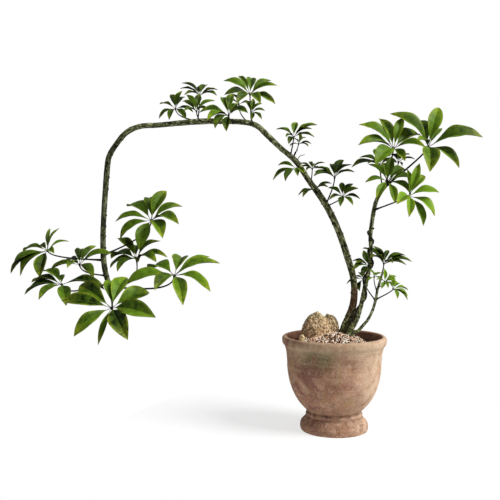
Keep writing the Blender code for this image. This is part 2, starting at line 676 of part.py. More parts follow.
def skin(bm, first, second):
    """Faces between two sections, split alike above and below the blade."""
    for index in range(4):
        after = (index + 1) % 4
        a, b, c, d = first[index], first[after], second[after], second[index]
        halves = ((a, b, c), (a, c, d)) if index < 2 else ((a, b, d), (b, c, d))
        for corners in halves:
            if len(set(corners)) == 3:
                bm.faces.new(corners)


def leaflet(hub, tip, facing, start, broad):
    """A blade that leaves the hub, arches over towards the way the hub faces and ends in a point."""
    chord = tip - hub
    length = chord.length
    lift = facing - chord * facing.dot(chord) / chord.length_squared
    if lift.length < LEAST_LIFT:
        lift = Vector((0, 0, 1)) - chord * chord.z / chord.length_squared
    lift.normalize()
    pull = hub + chord * 0.5 + lift * 2 * ARCH * length
    first = hub + (pull - hub).normalized() * start
    stations = LONG_STATIONS if length > LONG_LEAFLET else SHORT_STATIONS
    bm = bmesh.new()
    before = None
    for t, width in ((0, 0), *stations):
        place = first * (1 - t) ** 2 + pull * 2 * t * (1 - t) + tip * t * t
        ahead = ((pull - first) * (1 - t) + (tip - pull) * t).normalized()
        side = ahead.cross(lift).normalized()
        up = side.cross(ahead)
        half = max(broad * length * width / 2, STALK_RADIUS)
        keel = half * BLADE_KEEL if width else 0
        ring = ring_corners(bm, place, side, up, half, RIB_THICKNESS / 2, keel)
        if before:
            skin(bm, before, ring)
        else:
            bm.faces.new(ring)
        before = ring
    skin(bm, before, [bm.verts.new(tip)] * 4)
    return bm


def petiole_route(foot, hub, facing, bend_share, size):
    """A stalk that leaves the stem, then bends to end the way the hub faces, with a small knob."""
    bend = hub - facing * (hub - foot).length * bend_share
    way = foot.lerp(bend, 0.5)
    route = []
    for step in range(PETIOLE_SPANS):
        t = step / (PETIOLE_SPANS - 1) * NECK
        place = (
            foot * (1 - t) ** 3 + way * 3 * t * (1 - t) ** 2
            + bend * 3 * t * t * (1 - t) + hub * t ** 3
        )
        route.append((place, size * (PETIOLE_FLARE - PETIOLE_TAPER * t)))
    route.append((hub, size * KNOB_SWELL))
    route.append((hub + facing * size * KNOB_LENGTH, size * KNOB_TIP))
    return route


def foot_on_stem(stem, wanted, hub):
    """A point inside the stem, nearest the one wanted and off its middle towards the hub."""
    index = min(range(1, len(stem) - 1), key=lambda row: (stem[row][0] - wanted).length)
    place, radius = stem[index]
    along = (stem[index + 1][0] - stem[index - 1][0]).normalized()
    out = (hub - place) - along * (hub - place).dot(along)
    return place + out.normalized() * radius * FOOT_OFFSET


def add_leaf(name, leaf, stem, cutter, finish):
    """One compound leaf, its foot cut to fit against its stem."""
    hub = Vector(leaf.hub)
    facing = Vector(leaf.facing).normalized()
    foot = foot_on_stem(stem, Vector(leaf.foot), hub)
    sight = (VIEWPOINT - hub).normalized()
    size = PETIOLE_LEAST_RADIUS + PETIOLE_GROWTH * leaf.length
    broad = SMALL_BLADE_WIDTH if leaf.length < SMALL_LEAF else BLADE_WIDTH
    route = petiole_route(foot, hub, facing, leaf.bend, size)
    base = add_object(name, tube(route, PETIOLE_SIDES), finish)
    blades = []
    for index, row in enumerate(leaf.leaflets):
        one = Leaflet(*row)
        bearing, lean = math.radians(one.bearing), math.radians(one.lean)
        flat = Vector((math.cos(bearing), 0, math.sin(bearing)))
        way = flat * math.cos(lean) + sight * math.sin(lean)
        tip = hub + way * leaf.length * one.reach
        bm = leaflet(hub, tip, facing, size * LEAFLET_START, broad * one.breadth)
        blades.append(add_object(f"{name}_leaflet_{index}", bm, finish))
    fuse(base, blades)
    cut(base, [cutter])


def main():
    for leftover in list(bpy.data.objects):
        bpy.data.objects.remove(leftover)

    terracotta = material("aged terracotta", 0.45, 0.29, 0.20, 0.85)
    earth = material("potting soil", 0.035, 0.022, 0.015, 0.95)
    grit = material("washed gravel", 0.55, 0.45, 0.38, 0.8)
    rock = material("sandstone", 0.42, 0.32, 0.18, 0.85)
    bark = material("grey green bark", 0.13, 0.14, 0.08, 0.8)
    aerial = material("dark aerial root", 0.035, 0.03, 0.02, 0.8)
    green = material("glossy leaf", 0.07, 0.16, 0.02, 0.35)

    add_pot(terracotta)

    tall, tall_cutter = add_stem("stem_tall", TALL_STEM, bark)
    sprouts = []
    for index, points in enumerate(SPROUTS):
        route = [(Vector(place), SPROUT_RADIUS) for place in points]
        sprouts.append(add_object(f"sprout_{index}", tube(route, SPROUT_SIDES), bark))
    fuse(tall, sprouts)
    middle_cutter = add_stem("stem_middle", MIDDLE_STEM, bark)[1]
    short_cutter = add_stem("stem_short", SHORT_STEM, bark)[1]

    route = root_route()
    add_object("aerial_root", tube(route, ROOT_SIDES), aerial)
    grown = [(place, radius + ROOT_CLEARANCE) for place, radius in route]
    root_cutter = add_cutter("aerial_root_clearance", tube(grown, ROOT_SIDES))

    add_stone("stone", rock, 0)
    stone_cutter = add_stone("stone_clearance", None, ROCK_CLEARANCE)
    add_object("small_stone", boulder(*SMALL_STONE, 0), rock)
    small_cutter = add_cutter("small_stone_clearance", boulder(*SMALL_STONE, ROCK_CLEARANCE))

    planted = [tall_cutter, middle_cutter, short_cutter, root_cutter]
    add_soil(earth, planted)
    add_gravel(grit, [*planted, stone_cutter, small_cutter])

    for name, points, cutter, leaves in (
        ("leaf_tall", TALL_STEM, tall_cutter, TALL_LEAVES),
        ("leaf_middle", MIDDLE_STEM, middle_cutter, MIDDLE_LEAVES),
        ("leaf_short", SHORT_STEM, short_cutter, SHORT_LEAVES),
    ):
        stem = smooth_route(points, FINE_SPACING)
        for number, row in enumerate(leaves, 1):
            add_leaf(f"{name}_{number:02}", row, stem, cutter, green)

    for cutter in [*planted, stone_cutter, small_cutter]:
        remove_object(cutter)


main()
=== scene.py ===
"""The looks of the potted umbrella plant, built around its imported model.

Metres, +Z up. The origin is the middle of the pot's flat underside, +X is to the right and -Y
towards the camera.
"""

import math
import random
from collections import namedtuple

import bmesh
import bpy
from mathutils import Matrix, Quaternion, Vector, noise


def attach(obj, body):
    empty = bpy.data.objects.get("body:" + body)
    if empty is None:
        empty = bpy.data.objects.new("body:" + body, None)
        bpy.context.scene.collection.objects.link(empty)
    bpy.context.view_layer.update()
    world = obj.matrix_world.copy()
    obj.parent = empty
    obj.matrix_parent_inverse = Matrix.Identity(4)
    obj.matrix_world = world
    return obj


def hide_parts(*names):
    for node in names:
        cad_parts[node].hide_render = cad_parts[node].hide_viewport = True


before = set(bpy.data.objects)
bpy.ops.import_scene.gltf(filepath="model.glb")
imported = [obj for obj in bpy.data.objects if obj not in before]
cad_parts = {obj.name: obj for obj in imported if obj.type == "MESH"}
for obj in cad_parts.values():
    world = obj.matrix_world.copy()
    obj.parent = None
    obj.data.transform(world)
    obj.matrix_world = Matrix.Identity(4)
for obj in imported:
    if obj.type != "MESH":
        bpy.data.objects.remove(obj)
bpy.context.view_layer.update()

# Where two faces meet more sharply than this, their edge stays crisp.
SHARP_ANGLE = math.radians(55)

# Pot, as (radius, height) points of its profile, each run of them one smooth curve.
RIM_RADIUS = 0.150
LIP_BEAD = 0.0085
LIP_HEIGHT = 0.259
LIP_STEPS = 12
OUTER_WALL = (
    (0.150, 0.2595),
    (0.1485, 0.2480),
    (0.1412, 0.2365),
    (0.1370, 0.2170),
    (0.1346, 0.1950),
    (0.1335, 0.1700),
    (0.1275, 0.1350),
    (0.1160, 0.1040),
    (0.0985, 0.0764),
    (0.0765, 0.0535),
)
WAIST_RING = (
    (0.0765, 0.0535),
    (0.0802, 0.0490),
    (0.0813, 0.0445),
    (0.0805, 0.0400),
)
FOOT_MOULDING = (
    (0.0805, 0.0400),
    (0.0832, 0.0360),
    (0.0880, 0.0302),
    (0.0935, 0.0245),
    (0.0965, 0.0180),
    (0.0973, 0.0105),
    (0.0966, 0.0040),
    (0.0950, 0.0),
)
INNER_WALL = (
    (0.0640, 0.0660),
    (0.0930, 0.0840),
    (0.1130, 0.1120),
    (0.1215, 0.1400),
    (0.1240, 0.1650),
    (0.1260, 0.2050),
    (0.1275, 0.2350),
    (0.1330, 0.2590),
)
POT_STEPS = 144
# The inside is what faces in or up, above this height and within this radius.
INSIDE_HEIGHT = 0.06
INSIDE_RADIUS = 0.139
# Heights of the grooves over and under the waist's ring, and how far the painted shade in them
# spreads.
GROOVES = (0.0530, 0.0395)
GROOVE_RADIUS = 0.0835
GROOVE_SHADE_SPREAD = 0.004
# How uneven the outside is, and how deep the rings are that throwing left.
WALL_SWAY = 0.0007
WALL_RINGS = 0.00035
DRAIN_RADIUS = 0.006
DRAIN_CIRCLE = 0.035
DRAIN_COUNT = 3

# Soil, the crumbs on it and the gravel heaped on it. The gaps are between the soil and the pot.
SOIL_LEVEL = 0.2475
SOIL_EDGE_RADIUS = 0.1300
SOIL_TOP_GAP = 0.0022
SOIL_GAP = 0.0004
SOIL_RINGS = 60
SOIL_STEPS = 160
CRUMB_TRIES = 420
CRUMB_SIZES = (0.0009, 0.0026)
BED_CENTRE = (-0.010, -0.043)
BED_REACH = (0.097, 0.081)
BED_EDGE_HEIGHT = 0.2540
CROWN = (-0.012, -0.006)
CROWN_HEIGHT = 0.2785
CROWN_REACH = (0.112, 0.082)
PEBBLE_TRIES = 14000
PEBBLE_SIZES = (0.0021, 0.0040)
PEBBLE_USUAL_SIZE = 0.0028
PEBBLE_CLOSENESS = 0.92
# Between what shares of its size a pebble is long, wide and thick.
PEBBLE_FORM = ((1.0, 1.45), (0.75, 1.0), (0.6, 0.85))
# How deep under the bed's surface the pebbles' middles and the heap are.
PEBBLE_DEPTH = 0.0006
HEAP_DEPTH = 0.0035
# What pebbles keep clear of at the stems' feet, as x, y and radius.
STEM_FEET = ((0.0290, 0.024, 0.0120), (0.0395, -0.0085, 0.0084), (0.0485, -0.024, 0.0050))

# Stone of two boulders grown together, each as its centre and its reach, and the share of that
# reach it keeps under its rough skin.
ROCK_SHARE = 0.975
BOULDERS = (
    (Vector((-0.0525, -0.004, 0.278)), Vector((0.0430, 0.036, 0.0660))),
    (Vector((-0.0094, 0.034, 0.2804)), Vector((0.0295, 0.030, 0.0475))),
)
SMALL_STONE = (Vector((-0.0975, -0.066, 0.2675)), Vector((0.0092, 0.0088, 0.0142)))
# Flat chips off each boulder, as the way each looks and its distance out, a share of the reach.
CHIPS = (
    (Vector((-0.73, -0.12, 0.67)), 0.82),
    (Vector((0.70, -0.30, 0.65)), 0.86),
    (Vector((-0.10, -0.80, 0.59)), 0.88),
    (Vector((0.42, -0.90, -0.10)), 0.88),
    (Vector((-0.55, 0.65, 0.52)), 0.84),
    (Vector((0.35, 0.80, 0.49)), 0.84),
    (Vector((-0.88, -0.46, -0.12)), 0.92),
    (Vector((0.93, 0.30, 0.20)), 0.90),
    (Vector((-0.50, -0.86, 0.10)), 0.90),
)
# What shapes each boulder's top: the left one comes to a peak and the right one is rounded.
TOP_CHIPS = (
    (
        (Vector((-0.30, 0.05, 0.95)), 0.84),
        (Vector((0.43, -0.05, 0.90)), 0.87),
    ),
    (
        (Vector((0.12, 0.05, 0.99)), 0.92),
    ),
)
# How fine the stone's mesh is, and the breaks in its face, as how far apart they are and how far
# they stand out. The seed keeps their tilts the same in every run.
ROCK_FINENESS = 0.0011
ROCK_BREAKS = ((0.024, 0.0042), (0.0085, 0.0024))
ROCK_SEED = 5

# Aerial root, from the soil up the left side of the middle stem and then wound round it. It leaves
# the left side at the second height, and is at the right and the left in turn at the others. The
# first and the last height are its ends. Its stand-off is negative, so that it
# lies against the stem.
ROOT_RADIUS = 0.0027
ROOT_PASSES = (0.222, 0.337, 0.378, 0.425, 0.473, 0.5075, 0.537, 0.5635, 0.578)
ROOT_STEPS_PER_PASS = 16
ROOT_TAPER = 0.2
ROOT_STAND_OFF = -0.0004

# Leaves. A blade's widths, the length of its bare stalk and the height of its arch are shares of
# a leaflet's length, and the depth of its keel is a share of half its width. Leaves shorter than
# SMALL_LEAF have the small width.
BLADE_WIDTH = 0.37
SMALL_BLADE_WIDTH = 0.325
SMALL_LEAF = 0.082
BLADE_KEEL = 0.52
BLADE_START = 0.10
BLADE_THICKNESS = 0.0006
BLADE_COLUMNS = 10
BLADE_ROWS = 20
PETIOLE_LEAST_RADIUS = 0.0014
PETIOLE_GROWTH = 0.0085
PETIOLE_STEPS = 18
ARCH = 0.15
# A leaflet that runs nearly along the way its hub faces, with a sine less than this between the
# two, arches upwards instead.
LEAST_LIFT = 0.2
# How far off the stem's middle a petiole's foot is, as a share of the stem's radius there.
FOOT_OFFSET = 0.5

# Spacings of the rings along a stem, of the points where a petiole's foot can be, and of scars.
STEM_SPACING = 0.0016
FINE_SPACING = 0.003
SCAR_SPACINGS = (0.022, 0.042)
# Between what heights the tall stem is rusty.
RUST_HEIGHTS = (0.312, 0.412)
# Stems, as points chosen along the middle of each: x, y, z and the radius there.
TALL_STEM = (
    (0.0205, 0.024, 0.215, 0.0118),
    (0.0310, 0.024, 0.2784, 0.0120),
    (0.0447, 0.024, 0.3145, 0.0112),
    (0.0584, 0.022, 0.3550, 0.0104),
    (0.0611, 0.018, 0.4025, 0.0097),
    (0.0545, 0.015, 0.447, 0.0097),
    (0.042, 0.018, 0.490, 0.0098),
    (0.020, 0.020, 0.557, 0.0095),
    (-0.010, 0.018, 0.624, 0.0095),
    (-0.042, 0.012, 0.675, 0.0095),
    (-0.071, 0.008, 0.713, 0.0080),
    (-0.109, 0.000, 0.768, 0.0082),
    (-0.152, -0.006, 0.805, 0.0076),
    (-0.189, -0.012, 0.839, 0.0080),
    (-0.220, -0.018, 0.867, 0.0080),
    (-0.256, -0.022, 0.878, 0.0080),
    (-0.322, -0.028, 0.880, 0.0078),
    (-0.384, -0.030, 0.879, 0.0084),
    (-0.446, -0.030, 0.874, 0.0078),
    (-0.503, -0.028, 0.869, 0.0074),
    (-0.555, -0.024, 0.866, 0.0075),
    (-0.594, -0.018, 0.850, 0.0080),
    (-0.623, -0.012, 0.819, 0.0078),
    (-0.646, -0.008, 0.782, 0.0080),
    (-0.653, -0.006, 0.738, 0.0084),
    (-0.657, -0.006, 0.686, 0.0080),
    (-0.660, -0.010, 0.629, 0.0078),
    (-0.662, -0.014, 0.566, 0.0078),
    (-0.661, -0.018, 0.508, 0.0080),
    (-0.656, -0.022, 0.463, 0.0078),
    (-0.646, -0.027, 0.426, 0.0072),
    (-0.636, -0.030, 0.400, 0.0056),
)
MIDDLE_STEM = (
    (0.0215, -0.010, 0.215, 0.0085),
    (0.0325, -0.010, 0.255, 0.0085),
    (0.0480, -0.007, 0.287, 0.0084),
    (0.0637, -0.002, 0.3122, 0.0074),
    (0.0761, 0.005, 0.3448, 0.0066),
    (0.0875, 0.013, 0.3875, 0.0065),
    (0.0971, 0.020, 0.4284, 0.0068),
    (0.1075, 0.022, 0.472, 0.0064),
    (0.1095, 0.020, 0.519, 0.0060),
    (0.108, 0.018, 0.557, 0.0060),
    (0.112, 0.016, 0.595, 0.0060),
    (0.118, 0.014, 0.632, 0.0062),
    (0.126, 0.012, 0.661, 0.0058),
    (0.139, 0.010, 0.684, 0.0056),
    (0.155, 0.010, 0.704, 0.0050),
)
SHORT_STEM = (
    (0.042, -0.025, 0.225, 0.0052),
    (0.0487, -0.024, 0.2706, 0.0052),
    (0.0658, -0.022, 0.2840, 0.0047),
    (0.0824, -0.018, 0.3011, 0.0044),
    (0.0966, -0.012, 0.3166, 0.0042),
    (0.1103, -0.006, 0.3417, 0.0041),
    (0.1190, -0.002, 0.3690, 0.0040),
    (0.125, 0.000, 0.398, 0.0038),
    (0.133, 0.003, 0.424, 0.0036),
    (0.1415, 0.006, 0.450, 0.0032),
)

# Bare young stalks on the tall stem, each as three points, and how much thinner each point is.
SPROUT_RADIUS = 0.0013
SPROUT_TAPER = 0.15
SPROUTS = (
    ((-0.116, -0.002, 0.784), (-0.113, -0.010, 0.794), (-0.105, -0.015, 0.799)),
    ((-0.105, 0.000, 0.772), (-0.098, 0.012, 0.785), (-0.083, 0.016, 0.790)),
)

# A compound leaf: a petiole from its foot on a stem to its hub, where the leaflets spread.
# Facing is the way the hub looks. Each leaflet is its bearing in degrees as seen from the
# viewpoint, from +X up towards +Z, its lean towards the viewpoint in degrees, and, where they
# aren't 1, its reach as a share of the leaf's length and its breadth as a share of the usual.
# Bend is how far below the hub the petiole turns up to it, as a share of the way from foot to hub.
VIEWPOINT = Vector((-0.242, -2.0, 0.567))
Leaf = namedtuple("Leaf", "foot hub facing length leaflets bend", defaults=(0.28,))
Leaflet = namedtuple("Leaflet", "bearing lean reach breadth", defaults=(1, 1))

TALL_LEAVES = (
    Leaf((-0.661, -0.020, 0.500), (-0.533, 0.050, 0.600), (0.1, -0.5, 0.86), 0.109,
         ((95, -50), (63, -24), (24, -20), (-8, 44), (-58, 57), (247, 33), (211, 10, 1, 1.15),
          (182, -8, 1, 0.75), (150, -38, 1, 1.25))),
    Leaf((-0.642, -0.028, 0.416), (-0.574, 0.030, 0.488), (-0.1, -0.25, 0.97), 0.091,
         ((134, -24, 1, 1.08), (88, -64), (36, -14), (2, 5), (-10, 51), (-61, 78, 0.6),
          (214, 44, 1, 1.15), (200, -24), (180, -33, 1, 1.3)), 0.75),
    Leaf((-0.639, -0.029, 0.408), (-0.451, -0.080, 0.445), (0.1, -0.5, 0.86), 0.131,
         ((170, -56), (191, 0, 1.05, 0.85), (216, 56, 0.88), (-74, 52, 1, 0.75),
          (-24, 37, 1, 0.75), (15, 0, 1, 0.85), (28, -29, 1, 0.5), (65, -64))),
    Leaf((-0.637, -0.030, 0.403), (-0.613, -0.140, 0.362), (0.0, -0.8, 0.6), 0.131,
         ((82, -57, 1.04), (64, -43), (22, -30, 1, 1.1), (-12, 26), (-63, 46), (250, 30, 0.9, 0.4),
          (217, 20, 1, 0.85), (172, 0, 1.03, 0.9), (145, -30, 0.95))),
    Leaf((-0.643, -0.028, 0.419), (-0.770, -0.050, 0.418), (0.1, -0.3, 0.95), 0.093,
         ((144, -38, 0.9), (176, -20), (195, 0, 1.17), (213, 35), (-79, 51), (-7, 10, 1.3),
          (105, -60, 0.6))),
    Leaf((-0.651, -0.025, 0.442), (-0.711, -0.090, 0.476), (0.0, -0.4, 0.92), 0.080,
         ((84, -56), (48, -28), (18, 4, 1.18), (-42, 50), (195, 65), (193, -5, 1.08),
          (168, -62, 0.9))),
    Leaf((-0.661, -0.019, 0.485), (-0.837, 0.040, 0.511), (-0.15, -0.45, 0.88), 0.100,
         ((83, -32, 0.79, 0.45), (62, -10, 0.77, 0.45), (23, -30, 0.81, 0.55), (-21, 65, 0.5),
          (150, -55, 0.5), (183, -35, 0.9, 0.7), (212, 0, 1.27, 1.1), (223, 10, 1.1, 1.1),
          (254, 36, 0.98, 1.1)), 0.13),
    Leaf((-0.396, -0.030, 0.878), (-0.458, 0.010, 0.922), (-0.1, -0.5, 0.86), 0.056,
         ((105, -38), (69, 0), (163, -30, 1, 0.8), (211, 12), (241, 50), (-45, 40), (-11, 20),
          (50, -35))),
    Leaf((-0.391, -0.030, 0.878), (-0.385, -0.020, 0.955), (0.0, -0.3, 0.95), 0.058,
         ((146, -5, 1.1), (161, 10, 1.05), (122, -65), (55, -52), (17, -20), (0, 35),
          (178, 42))),
    Leaf((-0.384, -0.030, 0.879), (-0.390, -0.080, 0.899), (0.0, -0.6, 0.8), 0.054,
         ((121, 0), (144, -25), (81, -25), (30, 0, 1.1), (8, 60), (178, 50))),
    Leaf((-0.270, -0.024, 0.880), (-0.301, -0.090, 0.886), (-0.1, -0.55, 0.83), 0.081,
         ((174, 0), (193, 44, 1, 1.25), (223, 52), (262, 40, 0.7), (8, 50), (48, -38, 0.7),
          (80, -40, 1, 0.75), (109, -48, 1, 0.8))),
    Leaf((-0.238, -0.020, 0.874), (-0.242, 0.030, 0.968), (0.0, -0.7, 0.72), 0.080,
         ((123, -35, 1, 0.6), (153, 0, 1.09, 1.1), (181, 22), (86, -52), (33, -20),
          (18, 6, 1.05, 0.8), (-21, 12), (-42, 60), (213, 55))),
    Leaf((-0.250, -0.021, 0.877), (-0.275, 0.060, 0.945), (0.0, 0.2, 1.0), 0.042,
         ((130, -20), (162, 0), (98, -50), (62, -25), (0, 15), (233, -40))),
    Leaf((-0.232, -0.019, 0.871), (-0.239, -0.080, 0.896), (0.2, -0.5, 0.84), 0.040,
         ((81, -10), (39, 0), (7, 15), (-32, 30), (-85, 60), (122, -20))),
    Leaf((-0.127, -0.003, 0.785), (-0.118, -0.030, 0.835), (0.05, -0.2, 0.97), 0.076,
         ((156, -25, 0.8), (82, -38, 0.72), (24, 34, 0.88), (27, -4), (0, 28, 0.86),
          (234, 58, 0.6), (180, 62, 0.6))),
    Leaf((-0.120, -0.001, 0.778), (-0.100, 0.030, 0.823), (0.2, 0.1, 0.97), 0.038,
         ((0, 8), (-15, 40), (41, -40), (88, -20), (132, -50, 0.8), (195, 30, 0.8))),
    Leaf((-0.100, 0.002, 0.755), (-0.112, -0.060, 0.743), (-0.2, -0.5, 0.84), 0.074,
         ((170, -22, 0.78), (206, 8), (228, 46, 0.9), (-80, 62, 0.6), (-32, 56, 0.62))),
    Leaf((-0.068, 0.009, 0.709), (-0.060, 0.030, 0.750), (0.0, -0.1, 1.0), 0.042,
         ((158, -6), (174, 28), (196, 58, 0.8), (112, -50, 0.85), (70, -62, 0.8), (26, -12),
          (5, 50, 0.8))),
    Leaf((-0.022, 0.016, 0.651), (-0.002, -0.030, 0.721), (0.0, -0.25, 0.97), 0.069,
         ((177, 32), (165, 6, 0.86), (156, -22), (103, -48, 0.85), (62, -35), (36, -12, 0.9),
          (14, 34))),
    Leaf((-0.018, 0.017, 0.641), (0.018, -0.050, 0.665), (0.0, -0.55, 0.83), 0.050,
         ((149, -15), (94, -36), (50, -18), (27, 2), (-8, 8), (-39, 42), (256, 56),
          (193, 40)), 0.1),
    Leaf((-0.045, 0.011, 0.680), (-0.059, -0.047, 0.685), (0.0, -0.3, 0.95), 0.050,
         ((199, 0), (212, 36), (20, 6), (10, 42), (90, 74, 0.6))),
)

MIDDLE_LEAVES = (
    Leaf((0.150, 0.010, 0.697), (0.159, -0.060, 0.798), (0.0, -0.6, 0.8), 0.115,
         ((145, 0, 1.03), (116, -22, 0.9, 0.9), (74, -20, 0.85, 0.7), (174, 25, 0.93),
          (221, 52, 0.92), (28, -38, 0.93), (3, 33, 0.9), (-47, 48, 0.6))),
    Leaf((0.153, 0.010, 0.702), (0.266, -0.020, 0.808), (0.1, -0.6, 0.8), 0.144,
         ((139, 2), (117, -46, 0.85), (75, -20, 0.88, 0.85), (57, -50, 0.7, 0.6),
          (10, 8, 1.1, 1.1), (-34, 30, 0.83, 0.85), (-86, 58, 0.88), (150, 60, 0.5)), 0.12),
    Leaf((0.135, 0.010, 0.678), (0.141, -0.065, 0.707), (0.0, -0.6, 0.8), 0.071,
         ((138, 0), (183, 14, 0.9), (238, 36, 1, 0.85), (-71, 26), (81, -5), (104, -40),
          (37, -32, 1, 1.15), (3, -12, 1.12, 1.25), (-31, -8, 1.1, 1.25))),
    Leaf((0.118, 0.014, 0.630), (0.193, -0.100, 0.664), (0.1, -0.6, 0.8), 0.091,
         ((72, -4, 1.04, 0.6), (94, -20, 0.88, 0.5), (53, -38, 1, 0.75), (7, 12, 0.92),
          (-38, 15, 1, 1.1), (-64, 10, 1, 0.75), (-90, 46, 0.88, 0.75), (213, 58, 0.8)), 0.03),
    Leaf((0.143, 0.010, 0.689), (0.141, 0.050, 0.765), (-0.1, -0.3, 0.95), 0.084,
         ((161, -22, 0.82), (186, 4), (176, 40, 0.55), (103, -44, 0.8), (40, -55, 0.8),
          (5, -30, 0.7))),
    Leaf((0.148, 0.010, 0.694), (0.194, 0.040, 0.771), (0.1, 0.0, 1.0), 0.050,
         ((10, 0), (-47, 58, 0.6), (141, 50), (178, 15), (92, -62), (34, -36))),
    Leaf((0.107, 0.022, 0.467), (0.095, -0.025, 0.469), (-0.3, -0.4, 0.86), 0.055,
         ((108, -12, 0.88), (170, 30, 0.82), (162, -6, 0.88), (195, 34), (242, 52))),
)

SHORT_LEAVES = (
    Leaf((0.1415, 0.006, 0.449), (0.147, 0.020, 0.472), (0.0, -0.15, 0.98), 0.070,
         ((143, -30, 1.3), (121, -4, 0.88), (126, 35, 0.9), (154, 52), (70, -42, 0.85, 0.75),
          (22, -10), (5, 0, 1.18), (-2, 22), (8, 62, 0.8))),
    Leaf((0.124, 0.000, 0.392), (0.110, -0.030, 0.438), (0.0, -0.4, 0.9), 0.026,
         ((122, 0), (28, -20), (214, 20), (-17, 30), (75, -60))),
    Leaf((0.128, 0.001, 0.406), (0.137, -0.045, 0.426), (0.1, -0.5, 0.86), 0.037,
         ((92, 0), (24, -10), (0, 28), (-61, 52, 0.9), (246, 50, 0.9), (165, 20, 0.7))),
    Leaf((0.120, 0.000, 0.371), (0.166, -0.020, 0.403), (0.2, -0.3, 0.93), 0.046,
         ((106, -25, 1.08), (-4, -22), (49, -60), (-66, 50), (-25, 0), (-37, 12, 1.15),
          (135, -50)), 0.12),
    Leaf((0.119, 0.000, 0.368), (0.092, 0.051, 0.427), (-0.2, 0.0, 1.0), 0.044,
         ((197, -14, 1.2), (117, -60), (171, 30, 0.75), (255, -30), (30, -40, 0.8))),
)

# How far to the left of the middle the green patch on the pot's front is.
GREEN_PATCH_LEFT = 0.056

# The stage: the floor glows, and the sky lights the plant less than it shows.
FLOOR_RADIUS = 0.62
FLOOR_GLOW = 0.68
SKY_LIGHT = 0.36
KEY_LIGHT = 3.8
KEY_SPREAD = math.radians(32)
KEY_FROM = (0.694, -0.324, 0.643)
LENS = 50
SENSOR_WIDTH = 36
LENS_SHIFT = -0.037

# How bright each compound leaf is, from 0, old and in shade, to 1, young and in the sun.
TALL_BRIGHTNESS = (
    0.28, 0.22, 0.42, 0.24, 0.24, 0.22, 0.18, 0.10, 0.05, 0.18, 0.24,
    0.26, 0.10, 0.16, 0.12, 0.12, 0.16, 0.05, 0.10, 0.15, 0.05,
)
MIDDLE_BRIGHTNESS = (0.44, 0.42, 0.52, 0.84, 0.03, 0.04, 0.06)
SHORT_BRIGHTNESS = (0.14, 0.72, 0.72, 0.60, 0.06)
# How far a leaflet may differ from its leaf in that, and its two halves from each other, which is
# painted light and shade on the two sides of its fold.
BRIGHTNESS_SPREAD = 0.20
FOLD_SHADE_SPREAD = 0.13
# How far leaflets have yellowed. The last is twice as likely as the others.
AGES = (0.3, 0.5, 0.7, 0.9, 1.0, 1.0)
# What the points of a leaf's blades keep: millimetres across and along, shares of the length and
# of half the width, how bright, and how old.
BLADE_LAYERS = ("across", "along", "reach", "edge", "bright", "age")


def linear(code):
    """A hex sRGB colour as linear red, green, blue and alpha."""
    shares = [int(code[at:at + 2], 16) / 255 for at in (0, 2, 4)]
    return (*(c / 12.92 if c <= 0.04045 else ((c + 0.055) / 1.055) ** 2.4 for c in shares), 1)


def per(millimetres):
    """The scale of a pattern whose features are that far apart."""
    return 1000 / millimetres


def add(tree, kind, inputs=None, stops=(), **settings):
    """Adds a node with its settings, its inputs as values or sockets, and a ramp's stops."""
    made = tree.nodes.new(kind)
    for name, value in settings.items():
        setattr(made, name, value)
    for name, value in (inputs or {}).items():
        if isinstance(value, bpy.types.NodeSocket):
            tree.links.new(value, made.inputs[name])
        else:
            made.inputs[name].default_value = value
    for index, (place, code) in enumerate(stops):
        points = made.color_ramp.elements
        point = points[index] if index < len(points) else points.new(place)
        point.position = place
        point.color = linear(code)
    return made


def start_material(name, roughness, gloss):
    """A material, its nodes and its shader."""
    made = bpy.data.materials.new(name)
    made.use_nodes = True
    shader = made.node_tree.nodes["Principled BSDF"]
    shader.inputs["Roughness"].default_value = roughness
    shader.inputs["Specular IOR Level"].default_value = gloss
    return made, made.node_tree, shader


def position(tree):
    """Where a point of the part is, in metres."""
    return add(tree, "ShaderNodeTexCoord").outputs["Object"]


def split(tree, place):
    """The X, Y and Z of a place."""
    return add(tree, "ShaderNodeSeparateXYZ", {"Vector": place}).outputs


def stretched(tree, place, *scale):
    """A place for patterns that are long where the scale is small."""
    return add(tree, "ShaderNodeMapping", {"Vector": place, "Scale": scale}).outputs[0]


def layer(tree, name):
    """What a piece's points keep under that name."""
    return add(tree, "ShaderNodeAttribute", attribute_name=name).outputs["Fac"]


def passing(tree, value, low, high, start=0.0, end=1.0, how="SMOOTHSTEP"):
    """Passes from start to end as the value passes from low to high."""
    return add(tree, "ShaderNodeMapRange", {
        "Value": value, "From Min": low, "From Max": high, "To Min": start, "To Max": end,
    }, interpolation_type=how).outputs[0]


def reckon(tree, operation, *values, clamp=False):
    """The result of that operation on values or sockets."""
    return add(
        tree, "ShaderNodeMath", dict(enumerate(values)), operation=operation, use_clamp=clamp,
    ).outputs[0]


def cloud(tree, place, size, detail, roughness):
    """A cloudy pattern with features about that size in millimetres."""
    return add(tree, "ShaderNodeTexNoise", {
        "Vector": place, "Scale": per(size), "Detail": detail, "Roughness": roughness,
    }).outputs["Fac"]


def blend(tree, share, colour, tint):
    """A colour with a share of a tint over it."""
    return add(tree, "ShaderNodeMix", {
        0: share, 6: colour, 7: linear(tint),
    }, data_type="RGBA").outputs[2]


def mottle(tree, place, colour, tint, size, low, high, share=1.0, where=None):
    """Lays patches of a tint over a colour, each about as wide as the size in millimetres.

    They show where a cloudy pattern passes from low to high, no stronger than the share, and
    only as far as another pattern allows.
    """
    patch = passing(tree, cloud(tree, place, size, 4, 0.6), low, high, 0.0, share, "LINEAR")
    if where:
        patch = reckon(tree, "MULTIPLY", patch, where)
    return blend(tree, patch, colour, tint)


def mottle_all(tree, base, patches):
    """A base colour under patches, each its place and then what mottle takes after a colour."""
    colour = linear(base)
    for place, *patch in patches:
        colour = mottle(tree, place, colour, *patch)
    return colour


